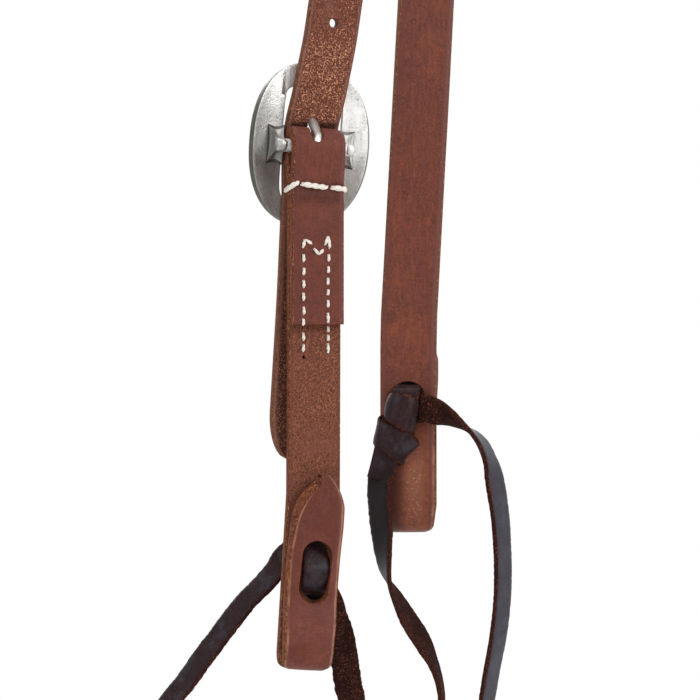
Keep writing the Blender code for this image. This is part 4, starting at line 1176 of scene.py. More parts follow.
@dataclass
class CheekPiece:
    """The near cheek piece: turned back over the buckle's bar, and folded up round the bit."""

    finishes: list[Material]
    wrap_radius: float = 4.05 * MM
    turn_back: float = 52.0 * MM
    needle_hole: tuple[float, float, float] = (-3.05, CHEEK_LAYER / MM, -61.6)

    def stations(self) -> list[Station]:
        """Stations from the turn-back's end, over the bar, down the cheek, to the flap's tip."""
        bar_across = BUCKLE.to_3x3() @ FORWARD
        pinch = Vector((CHEEK_LAYER, -STITCH_DROP))
        tangent = math.atan2(pinch.y, pinch.x) + math.acos(self.wrap_radius / pinch.length)
        pinch_place = BUCKLE @ Vector((CHEEK_SHIFT, 0.0, -STITCH_DROP))
        route = []
        for step in range(33):
            share = 1.0 - step / 33
            drop = STITCH_DROP + (self.turn_back - STITCH_DROP) * share
            place = Vector((pinch_place.x, BAR_PLACE.y - CHEEK_LAYER, BAR_PLACE.z - drop))
            route.append(even_width(place))
        profile = [(-pinch.x, pinch.y)]
        for step in range(37):
            angle = math.pi - tangent + (2 * tangent - math.pi) * step / 36
            profile.append((self.wrap_radius * math.cos(angle), self.wrap_radius * math.sin(angle)))
        profile.append((pinch.x, pinch.y))
        for outwards, rise in profile:
            lean = math.tan(BUCKLE_ROLL) * (rise + STITCH_DROP)
            place = BUCKLE @ Vector((CHEEK_SHIFT - lean, outwards, rise))
            route.append(even_width(place, bar_across))
        foot = NEAR_END.stations()[::-1]
        end = foot[0].centre
        start = Vector((pinch_place.x, end.y, pinch_place.z))
        for step in range(1, 24):
            share = step / 24
            place = start.lerp(end, share)
            place.x = start.x + (end.x - start.x) * share * share
            route.append(even_width(place))
        return even_stations(route + foot, 0.9 * MM)

    def relief(self, across: float, along: float, side: Side) -> float:
        """How far the skin stands proud: pinched under the cross stitch and creased beside it."""
        proud = 0.08 * MM * noise.noise(Vector((across / 0.012, along / 0.014, 4.0 + side.value)))
        if side is Side.GRAIN:
            stitch = self.turn_back - STITCH_DROP
            proud -= 0.45 * MM * bump(along, stitch, 1.3 * MM)
            proud += 0.22 * MM * bump(along, stitch + 3.0 * MM, 1.6 * MM)
            proud += 0.16 * MM * bump(along, stitch - 2.8 * MM, 1.3 * MM)
        return proud

    def make(self) -> Piece:
        """Build the cheek piece and cut its holes."""
        strap = sweep("cheek_strap", self.stations(), Section(), self.finishes, self.relief)
        edge = self.finishes[Side.EDGE.value]
        tools = NEAR_END.punches(edge)
        for across, middle, low in ((RING_SHIFT, -5.0 * MM, 1.5 * MM),
                                    (SHANK_SHIFT - 0.3 * MM, 5.0 * MM, -5.2 * MM)):
            tall = 2 * (8.0 * MM - low)
            spot = BUCKLE @ Matrix.Translation((across, middle, low + tall / 2))
            tools.append(punch(spot, 4.0 * MM, tall, 8.0 * MM, 0.2 * MM, edge))
        needle = Matrix.Translation(BAR_PLACE + Vector(self.needle_hole) * MM)
        tools.append(punch(needle, 0.8 * MM, 1.1 * MM, STRAP_THICK, 0.1 * MM, edge))
        cut(strap, tools[:-2])
        cut(strap, tools[-2:])
        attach(strap, "cheek")
        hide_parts("near_cheek_piece")
        return strap


@dataclass
class LaceTie:
    """One bit end's lace knot: its bight, standing piece and two turns; its two free ends are built
    apart.

    The standing piece's rows are a place and a width, and the turns' rows are two edge places,
    in millimetres as `spot` reads them.
    """

    name: str
    end: BitEnd
    body: str
    finishes: list[Material]
    foot_lean: float = 0.0
    section: Section = Section(8.2 * MM, 1.8 * MM, 1.0 * MM, 0.10 * MM, 0.50 * MM, 8, 0.05 * MM)
    standing: tuple = (
        (-8.8, 4.3, 13.8, 7.2), (-8.0, 4.0, 16.4, 7.4), (-7.0, 3.9, 19.6, 7.6),
        (-5.4, 3.9, 24.6, 7.4), (-3.6, 3.9, 30.0, 7.2), (-1.9, 3.9, 34.6, 7.6),
        (-0.8, 3.8, 37.0, 8.2), (-0.3, 3.1, 38.8, 8.0), (-0.1, 1.8, 39.6, 7.6),
        (0.0, 0.2, 39.8, 7.0), (0.0, -1.8, 39.4, 6.6), (0.0, -3.6, 37.8, 6.6),
        (-0.5, -5.6, 34.8, 7.4), (-0.7, -7.2, 31.6, 8.4), (-0.8, -8.0, 28.5, 8.7),
        (-0.8, -7.2, 25.4, 8.4), (-1.0, -5.6, 23.4, 7.0), (-1.6, -3.6, 22.8, 5.6),
        (-1.8, -1.8, 22.7, 5.4), (-1.8, 0.4, 22.6, 5.4), (-1.8, 1.2, 22.2, 5.4),
    )
    turns: tuple = (
        (-4.0, 1.3, 18.0, -4.0, 1.3, 25.0), (-3.3, 2.0, 18.5, 1.8, 2.2, 24.0),
        (-3.8, 3.8, 19.2, 3.4, 3.9, 24.6), (-4.7, 5.6, 20.2, 2.6, 5.8, 26.0),
        (-6.2, 6.3, 21.3, -0.3, 6.4, 28.2), (-7.9, 6.0, 22.6, -5.2, 6.1, 30.2),
        (-9.0, 4.2, 24.0, -7.0, 4.2, 31.0), (-7.9, 2.4, 24.6, -6.4, 2.4, 32.0),
        (-3.2, 1.3, 25.8, -2.6, 1.3, 33.4), (0.2, 2.2, 26.4, 1.6, 2.1, 35.8),
        (0.9, 4.2, 26.8, 2.9, 3.9, 36.8), (0.1, 6.9, 27.2, 2.0, 5.8, 37.6),
        (-2.2, 7.8, 28.7, -0.2, 6.4, 38.3), (-4.6, 7.4, 30.4, -2.8, 6.0, 38.7),
        (-5.9, 5.4, 31.8, -4.1, 4.5, 38.6), (-5.6, 3.2, 31.6, -3.9, 2.8, 38.0),
        (-2.4, 1.6, 30.4, -1.6, 1.6, 37.6), (1.6, 1.6, 29.9, 2.0, 1.6, 37.3),
        (4.4, 2.2, 30.0, 4.6, 2.2, 37.5),
    )

    def spot(self, across: float, outwards: float, rise: float) -> Vector:
        """A place by the bit end: across, outwards from the outer face, and over the fold."""
        return self.end.matrix @ (Vector((across, -HALF_THICK / MM - outwards, rise)) * MM)

    def knot(self) -> Piece:
        """Build the bight with its standing piece, and the turns round it."""
        sideways = self.end.matrix.to_3x3() @ FORWARD
        rows = []
        for index, (across, outwards, rise, width) in enumerate(self.standing):
            across -= self.foot_lean * blend(30.0, 17.0, rise) * (index < 6)
            rows.append(Vector((*self.spot(across, outwards, rise), width * MM / 2)))
        stations = [even_width(Vector(row[:3]), sideways, row[3])
                    for row in smooth_route(rows, 0.6 * MM)]
        standing = sweep(self.name, stations, self.section, self.finishes,
                         wavering(6.0, 5 * MM, 0.08 * MM))
        rows = [Vector((*self.spot(*row[:3]), *self.spot(*row[3:]))) for row in self.turns]
        made = []
        for row in smooth_route(rows, 0.5 * MM):
            lower, upper = Vector(row[:3]), Vector(row[3:])
            made.append(even_width((lower + upper) / 2, upper - lower, (upper - lower).length / 2))
        crowned = replace(self.section, dome=0.45 * MM)
        turns = sweep(self.name + "_turns", made, crowned, self.finishes,
                      wavering(9.0, 5 * MM, 0.10 * MM))
        return join_pieces([standing, turns], self.name)

    def make(self) -> Piece:
        """Build the knot and say what it stands for."""
        knot = self.knot()
        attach(knot, self.body)
        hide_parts(self.name)
        return knot


@dataclass
class FreeEnd:
    """A free end of a lace: a flat ribbon that runs through places in millimetres.

    After a place comes the way that the grain side looks in from there on, where that changes.
    """

    name: str
    body: str
    finishes: list[Material]
    places: tuple
    leaves: tuple[float, float, float]
    start_lean: float = 0.0
    width: float = 8.2 * MM
    start_width: float = 7.0 * MM
    section: Section = Section(8.2 * MM, 1.5 * MM, 1.0 * MM, 0.12 * MM, 0.42 * MM, 8, 0.04 * MM)

    def rows(self) -> list[Vector]:
        """The places in metres, each with the way that the grain side looks in."""
        rows, facing = [], ()
        for x, y, z, *turned in self.places:
            facing = (*turned, 0.0)[:3] if turned else facing
            rows.append(Vector((x * MM, y * MM, z * MM, *facing)))
        return rows

    def make(self) -> Piece:
        route = smooth_route(self.rows(), 0.6 * MM)
        centres = [Vector(row[:3]) for row in route]
        for centre in centres:
            centre.x += self.start_lean * blend(-540 * MM, -506 * MM, centre.z)
        shift = sum(ord(letter) for letter in self.name) * 0.37
        stations = []
        for index, (centre, row) in enumerate(zip(centres, route)):
            sideways = ahead_at(centres, index).cross(Vector(row[3:]))
            spread = blend(0.0, 6.0 * MM, (centre - centres[0]).length)
            half = (self.start_width + (self.width - self.start_width) * spread) / 2
            wander = noise.noise(Vector((index / 23.0, shift, 0.0))) * 0.25 * MM
            left, right = (noise.noise(Vector((index / 1.7, shift, layer))) * 0.30 * MM
                           for layer in (5.0, 9.0))
            stations.append(Station(centre, sideways, half + wander + left,
                                    half - wander * 0.6 + right))
        ribbon = sweep(self.name + "_lace", stations, self.section, self.finishes,
                       wavering(shift, 7 * MM, 0.12 * MM))
        path = [Vector(row[:3]) for row in smooth_route(self.rows(), 4.5 * MM)]
        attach(ribbon, self.body)
        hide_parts(self.name)
        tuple(self.leaves)
        return ribbon


OFF_LEFT_PLACES = (
    (-30.2, -54.9, -463.9, -0.66, -0.75), (-31.0, -55.2, -466.8, -0.82, -0.56),
    (-31.5, -57.4, -472.5, -0.85, -0.52), (-31.6, -60.5, -480.0, -0.89, -0.45),
    (-31.4, -62.0, -488.5, -0.98, -0.16), (-30.2, -63.0, -494.5, -0.97, 0.25),
    (-27.4, -63.0, -500.0, -0.87, 0.49), (-24.0, -62.5, -505.7, -0.77, 0.64),
    (-20.2, -62.0, -511.3), (-16.9, -61.0, -517.0, -0.90, 0.44),
    (-14.6, -60.0, -523.0, -0.92, 0.38), (-13.6, -59.0, -530.0),
    (-14.5, -58.0, -547.0, -0.90, 0.40), (-17.0, -57.0, -566.0, -0.95, 0.30),
    (-19.0, -57.0, -586.0, -0.97, 0.20), (-20.0, -58.0, -606.0, -0.99, 0.10),
)
OFF_RIGHT_PLACES = (
    (-19.4, -58.0, -445.6, 0.75, 0.65), (-17.4, -59.4, -446.0, 0.55, 0.80, 0.1),
    (-15.0, -60.2, -447.2, 0.28, 0.75, 0.55), (-10.1, -60.9, -449.6, 0.48, 0.20, 0.84),
    (-3.4, -61.6, -454.5, 0.72, -0.44, 0.54), (-0.4, -62.5, -460.3, 0.72, -0.62, 0.28),
    (1.0, -63.0, -466.5, 0.60, -0.78, 0.10), (2.3, -64.0, -477.5, 0.64, -0.77),
    (3.0, -64.0, -488.7, 0.66, -0.75), (3.1, -63.0, -500.0), (2.0, -62.0, -511.3, 0.68, -0.73),
    (0.4, -60.0, -523.0, 0.70, -0.71), (-1.8, -58.0, -541.0, 0.70, -0.70),
    (-4.0, -57.0, -560.0), (-5.0, -56.0, -580.0), (-5.0, -56.0, -600.0),
)
NEAR_FORE_PLACES = (
    (-13.9, 57.6, -507.5, 0.0, 1.0), (-12.9, 57.9, -510.6, 0.10, 0.98),
    (-11.4, 59.4, -514.5, 0.28, 0.96), (-9.9, 60.2, -518.5), (-8.4, 61.0, -523.5),
    (-7.1, 61.5, -528.5), (-5.3, 62.0, -534.0), (-2.6, 63.0, -547.0), (-0.8, 63.0, -564.0),
    (0.0, 62.0, -584.0), (0.0, 61.0, -604.0), (-1.0, 60.0, -622.0),
)
NEAR_REAR_PLACES = (
    (-25.3, 56.8, -488.6, -0.50, -0.86), (-27.2, 57.4, -490.6, -0.58, -0.76, 0.15),
    (-29.4, 57.9, -494.0, -0.76, -0.58, 0.40), (-33.9, 58.4, -499.0, -0.82, -0.55, 0.43),
    (-38.2, 59.0, -503.2), (-42.8, 60.0, -508.9), (-47.1, 61.0, -514.8), (-51.2, 62.0, -520.6),
    (-55.2, 63.0, -526.5), (-59.8, 64.0, -532.3), (-67.0, 65.0, -542.5, -0.76, -0.60, 0.35),
    (-75.0, 66.0, -556.5, -0.78, -0.55, 0.30), (-82.0, 66.0, -573.5, -0.80, -0.50, 0.25),
    (-87.0, 65.0, -592.0, -0.80, -0.50, 0.20), (-90.0, 64.0, -611.0, -0.80, -0.50, 0.15),
)


def oval(angle: float, size: tuple[float, float], fullness: float) -> tuple[float, float]:
    """A point of an oval: fullness 2 is an ellipse, more is squarer."""
    cosine, sine = math.cos(angle), math.sin(angle)
    return (math.copysign(abs(cosine) ** (2.0 / fullness), cosine) * size[0] / 2,
            math.copysign(abs(sine) ** (2.0 / fullness), sine) * size[1] / 2)


@dataclass
class CartBuckle:
    """The cast buckle: its plate with two star lugs, the bar and the tongue.

    A lug's levels are its height outwards in millimetres, how far its points have shrunk, how
    round it is and how deep its waists are; its cap's are the height and how far it has shrunk.
    """

    steel: Material
    wire_steel: Material
    rim_steel: Material
    plate: tuple[float, float] = (36.0 * MM, 48.4 * MM)
    plate_middle: tuple[float, float] = (0.45 * MM, 1.05 * MM)
    window: tuple[float, float] = (17.8 * MM, 33.5 * MM)
    window_middle: tuple[float, float] = (1.3 * MM, 1.05 * MM)
    thick: float = 2.0 * MM
    back: float = 7.75 * MM
    droop: float = 2.6 * MM
    lug_tall: float = 5.9 * MM
    levels: tuple = (
        (8.4, 1.00, 0.0, 0.08), (7.25, 1.00, 0.0, 0.10), (6.95, 0.97, 0.0, 0.13),
        (6.5, 0.89, 0.0, 0.18), (5.8, 0.79, 0.02, 0.24), (4.9, 0.69, 0.10, 0.30),
        (3.9, 0.60, 0.22, 0.34), (2.8, 0.52, 0.45, 0.34), (1.8, 0.46, 0.80, 0.34),
        (0.8, 0.42, 1.0, 0.34), (-0.6, 0.40, 1.0, 0.34),
    )
    cap: tuple = ((-1.6, 0.90), (-2.0, 0.68), (-2.2, 0.35), (-2.25, 0.1))
    bar_reach: tuple[float, float] = (-11.5 * MM, 11.9 * MM)
    wire: float = 2.8 * MM
    knee: float = 5.7 * MM
    bend: float = 9.6 * MM
    rest: float = 11.45 * MM
    edge: float = 17.6 * MM

    def make_plate(self) -> Piece:
        """Build the oval plate with its worn rims and the hollow in its top crosspiece."""
        around = 144

        def place(turn: float, share: float) -> tuple[float, float, float]:
            """Where a point lies, from its shares round the plate and in to the window."""
            angle = 2 * math.pi * turn + math.pi / around
            outer = Vector(oval(angle, self.plate, 2.25)) + Vector(self.plate_middle)
            inner = Vector(oval(angle, self.window, 8.0)) + Vector(self.window_middle)
            x, z = outer.lerp(inner, share**0.8)
            far = abs(x - self.plate_middle[0])
            reach = max(0.0, far - self.window[0] / 2) / ((self.plate[0] - self.window[0]) / 2)
            return x, self.back + self.thick / 2 - self.droop * reach**1.8, z

        plate = shaped_grid(around, 16, place)
        close_skin(fill=False)
        wall = plate.modifiers.new("thickness", "SOLIDIFY")
        wall.thickness, wall.offset, wall.material_offset_rim = self.thick, 0.0, 1
        rims = plate.modifiers.new("rims", "BEVEL")
        rims.width, rims.segments = 0.35 * MM, 3
        rims.limit_method, rims.angle_limit = "ANGLE", math.radians(50.0)
        for finish in (self.steel, self.rim_steel):
            plate.data.materials.append(finish)
        for step in (wall.name, rims.name):
            bpy.ops.object.modifier_apply(modifier=step)
        for vertex in plate.data.vertices:
            spot = vertex.co
            if spot.y < self.back + 0.35 * self.thick and spot.z > 15.0 * MM:
                spot.y += 0.55 * MM * blend(4.8 * MM, 3.4 * MM, abs(spot.x + 4.2 * MM))
        return plate

    def make_lug(self, middle: float, wide: float, post: float, post_radius: float) -> Piece:
        """Build one star lug: four ridges that run from its points to a round boss."""
        rows = len(self.levels) + len(self.cap)

        def place(turn: float, way: float) -> tuple[float, float, float]:
            """Where a point lies, from its shares round the lug and back along it."""
            row = round(way * (rows - 1))
            angle = 2 * math.pi * turn
            cosine, sine = math.cos(angle), math.sin(angle)
            ring = Vector((post + post_radius * cosine, post_radius * sine))
            if row >= len(self.levels):
                y, shrink = self.cap[row - len(self.levels)]
                return post + (ring.x - post) * shrink, y * MM, ring.y * shrink
            y, shrink, rounding, waist = self.levels[row]
            large, small = max(abs(cosine), abs(sine)), min(abs(cosine), abs(sine))
            reach = shrink / large * (1.0 - waist * (1.0 - (small / large) ** 2))
            centre = middle + (post - middle) * blend(7.0, 2.0, y)
            star = Vector((centre + wide * reach * cosine, 0.3 * MM + self.lug_tall * reach * sine))
            x, z = star.lerp(ring, rounding)
            return x, y * MM, z

        lug = shaped_grid(48, rows - 1, place)
        close_skin()
        for finish in (self.steel, self.rim_steel):
            lug.data.materials.append(finish)
        # the lug's foot takes the darker rim steel: patina, and painted shade where the lug meets
        # the plate
        for face in lug.data.polygons:
            if face.center.y > 6.6 * MM and len(face.vertices) == 4:
                face.material_index = 1
        return lug

    def make_frame(self) -> Piece:
        """Build the frame from its plate and its rear and fore lugs."""
        whole = join_pieces([
            self.make_plate(), self.make_lug(-9.95 * MM, 2.55 * MM, -9.9 * MM, 1.9 * MM),
            self.make_lug(11.5 * MM, 2.8 * MM, 10.7 * MM, 1.7 * MM),
        ], "cast_buckle")
        whole.data.transform(BUCKLE)
        finish_piece(whole, "cast_buckle", 45.0)
        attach(whole, "strap")
        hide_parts("buckle_frame")
        return whole

    def make_bar(self) -> Piece:
        """Build the bar, with rounded ends in the lugs."""
        pick()
        low, high = self.bar_reach
        bpy.ops.mesh.primitive_cylinder_add(
            vertices=28, radius=1.9 * MM, depth=high - low, location=((low + high) / 2, 0.0, 0.0),
            rotation=(0.0, math.radians(90.0), 0.0),
        )
        bar = bpy.context.object
        bpy.ops.object.transform_apply(location=True, rotation=True, scale=True)
        bpy.ops.object.mode_set(mode="EDIT")
        bpy.ops.mesh.select_all(action="SELECT")
        bpy.ops.mesh.bevel(offset=0.7 * MM, segments=3, affect="EDGES")
        bpy.ops.object.mode_set(mode="OBJECT")
        bar.data.transform(BUCKLE)
        bar.data.materials.append(self.wire_steel)
        finish_piece(bar, "buckle_bar_round")
        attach(bar, "strap")
        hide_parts("buckle_bar")
        return bar

    @staticmethod
    def shank_rise(outwards: float, swing: float = 0.0) -> float:
        """How far over the bar the shank is, some way outwards and swung by some degrees."""
        angle = math.radians(SHANK_ANGLE - swing)
        start = Vector((math.cos(angle), math.sin(angle))) * RING_RADIUS
        heading = Vector((math.sin(angle), -math.cos(angle)))
        return start.y + heading.y * (outwards - start.x) / heading.x

    def make_tongue(self) -> Piece:
        """Build the tongue: a wire round the bar, out through the billet and over the frame."""
        end = math.radians(SHANK_ANGLE)
        start = 2 * math.pi + end - math.acos(1.0 - (self.wire + GAP) / RING_RADIUS)
        route = []
        for step in range(37):
            angle = start + (end - start) * step / 36
            across = RING_SHIFT + (SHANK_SHIFT - RING_SHIFT) * blend(0.80, 1.0, step / 36)
            route.append(Vector((across, RING_RADIUS * math.cos(angle),
                                 RING_RADIUS * math.sin(angle))))
        over_bend = self.shank_rise(self.bend)
        shank = [Vector((SHANK_SHIFT, outwards, rise)) for outwards, rise in (
            (self.knee, self.shank_rise(self.knee)), (self.bend, over_bend),
            (self.rest - 0.4 * MM, (self.edge + over_bend) / 2), (self.rest, self.edge),
            (self.rest, self.edge + 3.5 * MM),
        )]
        route = route[:-1] + smooth_route([route[-1], *shank], 0.7 * MM)
        radii = [self.wire / 2] * len(route)
        for back, share in ((1, 0.55), (2, 0.85), (3, 0.96)):
            radii[-back] = self.wire / 2 * share
        stations = wire_stations([BUCKLE @ point for point in route], radii,
                                 BUCKLE.to_3x3() @ FORWARD)
        tongue = sweep("wire_tongue", stations, RoundSection(self.wire / 2, 18), [self.wire_steel])
        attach(tongue, "tongue")
        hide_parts("buckle_tongue")
        return tongue

    def make(self) -> list[Piece]:
        """Build the frame, the bar and the tongue."""
        return [self.make_frame(), self.make_bar(), self.make_tongue()]


@dataclass
class Stitch:
    """One stitch of two-ply thread: out of a needle hole, over the leather, and into the next.

    Out is the way that the leather's face looks in, and the stitch stands proud of that face.
    """

    start: Vector
    end: Vector
    out: Vector
    radius: float = 0.50 * MM
    proud: float = 0.34 * MM
    lay: float = 2.6 * MM

    def make(self, finish: Material, name: str) -> Piece:
        """Build the stitch."""
        length = (self.end - self.start).length
        steps = max(10, round(length / (0.28 * MM)))
        across = self.out.cross((self.end - self.start).normalized()).normalized()
        radii = []
        for step in range(steps + 1):
            share = 2 * step / steps - 1.0
            radii.append(self.radius * 0.70 * (1.0 - 0.55 * abs(share) ** 2.2))
        plies = []
        for phase in (0.0, math.pi):
            points = []
            for step in range(steps + 1):
                share = step / steps
                lift = self.proud * (1.0 - (2 * share - 1.0) ** 4) - self.radius * 0.9 * (
                    bump(share, 0.0, 0.10) + bump(share, 1.0, 0.10))
                turn = phase + 2 * math.pi * share * length / self.lay
                ply = (across * math.cos(turn) + self.out * math.sin(turn)) * self.radius * 0.34
                points.append(self.start.lerp(self.end, share) + self.out * lift + ply)
            stations = wire_stations(points, radii, across)
            plies.append(sweep(name, stations, RoundSection(self.radius * 0.66, 7), [finish]))
        return join_pieces(plies, name)


@dataclass
class TurnBackStitching:
    """The turn-back's stitching: two rows, an M at their top, and the thick cross stitch.

    The tables are in millimetres: a row's stitches from their top to their low end, the M's
    stitches as places across and up, and the cross stitch's runs in the buckle's frame.
    """

    thread: Material
    rear_row: tuple = (
        (-31.5, -33.6), (-35.5, -37.4), (-39.1, -41.2), (-42.8, -45.0), (-46.9, -49.1),
        (-50.4, -52.1), (-54.4, -56.7), (-57.9, -60.0),
    )
    fore_row: tuple = (
        (-31.5, -33.4), (-35.0, -36.8), (-38.4, -40.2), (-41.8, -43.3), (-44.9, -46.9),
        (-48.6, -51.5), (-52.4, -54.1), (-55.1, -56.7), (-57.6, -60.4),
    )
    crown: tuple = (
        ((-4.8, -29.5), (-4.3, -27.1)), ((-4.0, -27.2), (-2.05, -28.4)),
        ((-1.4, -29.8), (-0.1, -31.4)), ((0.1, -31.4), (1.35, -30.1)),
        ((1.96, -28.7), (2.75, -26.2)), ((2.95, -26.2), (3.35, -29.8)),
    )
    runs: tuple = (
        ((-8.3, 2.6, -1.6), (-8.5, 0.2, -1.3), (-8.6, -2.2, -0.9), (-8.2, -3.7, -0.4),
         (-7.5, -4.15, 0.2), (-6.7, -3.9, 0.6), (-6.2, -3.3, 0.6)),
        ((-5.2, -3.3, 0.5), (-4.5, -3.95, 0.45), (-2.2, -4.2, 0.25), (0.2, -4.15, 0.1),
         (1.9, -3.95, 0.05), (2.6, -3.3, 0.0)),
        ((3.9, -3.3, 0.1), (4.6, -3.95, 0.1), (6.2, -4.15, 0.05), (7.6, -3.9, 0.0),
         (8.45, -2.6, -0.1), (8.5, -0.2, -0.2), (8.3, 2.6, -0.2)),
    )
    turn_back_end: float = -52.2
    past_end_shift: float = 1.0
    outer_shift: float = 1.8
    shake: float = 0.15
    cross_radius: float = 0.56 * MM
    cross_lay: float = 4.4

    def stitch(self, start: Sequence[float], end: Sequence[float], outer: bool) -> Piece:
        """Build a stitch between two places across and up, on the outer or the inner face."""
        line = (BUCKLE @ Vector((CHEEK_SHIFT, 0.0, -STITCH_DROP))).x
        ends = []
        for across, rise in (start, end):
            past_end = rise < self.turn_back_end and not outer
            across += self.past_end_shift if past_end else 0.0
            if outer:
                level = BAR_PLACE.y + CHEEK_LAYER + HALF_THICK
            else:
                level = BAR_PLACE.y + (CHEEK_LAYER if past_end else -CHEEK_LAYER) - HALF_THICK
            ends.append(Vector((line + across * MM, level, BAR_PLACE.z + rise * MM)))
        out = Vector((0.0, 1.0 if outer else -1.0, 0.0))
        return Stitch(*ends, out).make(self.thread, "row_stitch")

    def make_rows(self) -> Piece:
        """Build both rows on both faces, and the M."""
        made = []
        shaker = random.Random(11)
        for column, rows in ((-4.6, self.rear_row), (2.9, self.fore_row)):
            for top, low in rows:
                first = column + shaker.uniform(-self.shake, self.shake)
                second = column + shaker.uniform(-self.shake, self.shake)
                made.append(self.stitch((first, top), (second, low), False))
                made.append(self.stitch((first, top + self.outer_shift),
                                        (second, low + self.outer_shift), True))
        made += [self.stitch(start, end, False) for start, end in self.crown]
        whole = join_pieces(made, "row_stitches")
        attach(whole, "cheek")
        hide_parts("turn_back_stitching")
        return whole

    def make_cross(self) -> Piece:
        """Build the thick stitches across the turn-back, which wrap its edges."""
        made = []
        for run in self.runs:
            rows = [Vector((CHEEK_SHIFT + x * MM, y * MM, -STITCH_DROP + z * MM))
                    for x, y, z in run]
            route = smooth_route(rows, 0.3 * MM)
            radii = [self.cross_radius] * len(route)
            for back, share in ((0, 0.45), (1, 0.75), (2, 0.92)):
                radii[back] = radii[-1 - back] = self.cross_radius * share
            for phase in (0.0, math.pi):
                points = []
                for step, point in enumerate(route):
                    turn = phase + 2 * math.pi * step * 0.3 / self.cross_lay
                    ply = Vector((0.0, math.sin(turn), math.cos(turn))) * 0.32 * MM
                    points.append(BUCKLE @ (point + ply))
                stations = wire_stations(points, radii, Vector((0.0, 0.0, 1.0)))
                made.append(sweep("cross", stations, RoundSection(0.5 * MM, 8), [self.thread]))
        whole = join_pieces(made, "cross_stitches")
        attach(whole, "cheek")
        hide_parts("cross_stitch")
        return whole

    def make(self) -> list[Piece]:
        """Build all of the turn-back's thread."""
        return [self.make_rows(), self.make_cross()]


@dataclass
class EarLoop:
    """The ear loop: a bow of leather between two keepers that slide on the off leg."""

    finishes: list[Material]
    thread: Material
    rise: float = 130.0 * MM
    height: float = 92.0 * MM
    start: float = 9.65 * MM
    reach: float = 32.35 * MM
    width: float = 12.0 * MM
    thick: float = 3.0 * MM
    keeper: float = 15.0 * MM
    wall: float = 2.4 * MM
    clearance: float = 0.5 * MM
    first_stitch: float = 5.9 * MM
    stitch_pitch: float = 4.2 * MM
    stitch_length: float = 3.1 * MM

    def __post_init__(self) -> None:
        """Lay a frame in the middle of the loop, which leans as the off leg does."""
        slope = OFF_LEAN / (LEAN_END + ARCH_FOOT)
        place = Vector((-slope * (self.rise + ARCH_FOOT), -LEG, -self.rise))
        self.matrix = frame_matrix(place, math.atan(slope), 0.0)
        self.half = (self.height - self.keeper) / 2

    def make_bow(self) -> Piece:
        """Build the bow."""
        turned = self.matrix.to_3x3()
        stations = []
        for step in range(61):
            angle = math.pi / 2 - math.pi * step / 60
            cosine, sine = math.cos(angle), math.sin(angle)
            place = Vector((self.start + self.reach * cosine, 0.0, self.half * sine))
            inwards = -Vector((cosine / self.reach, 0.0, sine / self.half))
            stations.append(even_width(self.matrix @ place, turned @ inwards.normalized(),
                                       self.width / 2))
        section = Section(self.width, self.thick, 1.3 * MM, 0.22 * MM, 0.45 * MM, 10)
        return sweep("ear_bow", even_stations(stations, 1.2 * MM), section, self.finishes,
                     wavering(3.0, 12 * MM, 0.08 * MM))

    def make_keeper(self, level: float) -> Piece:
        """Build one keeper: a band of leather round the leg."""
        matrix = self.matrix @ Matrix.Translation((0.0, 0.0, level))
        down = matrix.to_3x3() @ Vector((0.0, 0.0, -1.0))
        size = (2 * (HALF_WIDTH + self.clearance + self.wall / 2),
                2 * (HALF_THICK + self.clearance + self.wall / 2))
        route = []
        for step in range(73):
            place = Vector((*oval(2 * math.pi * step / 72, size, 7.0), 0.0))
            route.append(even_width(matrix @ place, down, self.keeper / 2))
        section = Section(self.keeper, self.wall, 1.1 * MM, 0.18 * MM, 0.4 * MM, 10)
        return sweep("ear_keeper", route, section, self.finishes)

    def make(self) -> list[Piece]:
        """Build the loop and its two rows of thread."""
        half = self.half
        loop = join_pieces([self.make_bow(), self.make_keeper(half), self.make_keeper(-half)],
                           "ear_bow")
        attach(loop, "ear")
        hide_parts("ear_loop")
        made = [loop]
        across, face = HALF_WIDTH - 1.0 * MM, HALF_THICK + self.clearance + self.wall
        out = self.matrix.to_3x3() @ Vector((0.0, -1.0, 0.0))
        for label, side in (("upper", 1.0), ("lower", -1.0)):
            stitches = []
            for index in range(3):
                low = side * half - self.first_stitch + index * self.stitch_pitch
                start, end = (self.matrix @ Vector((across, -face, rise))
                              for rise in (low, low + self.stitch_length))
                stitches.append(Stitch(start, end, out).make(self.thread, "ear_stitch"))
            row = join_pieces(stitches, f"ear_{label}_stitches")
            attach(row, "ear")
            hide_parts(f"ear_{label}_stitching")
            made.append(row)
        return made


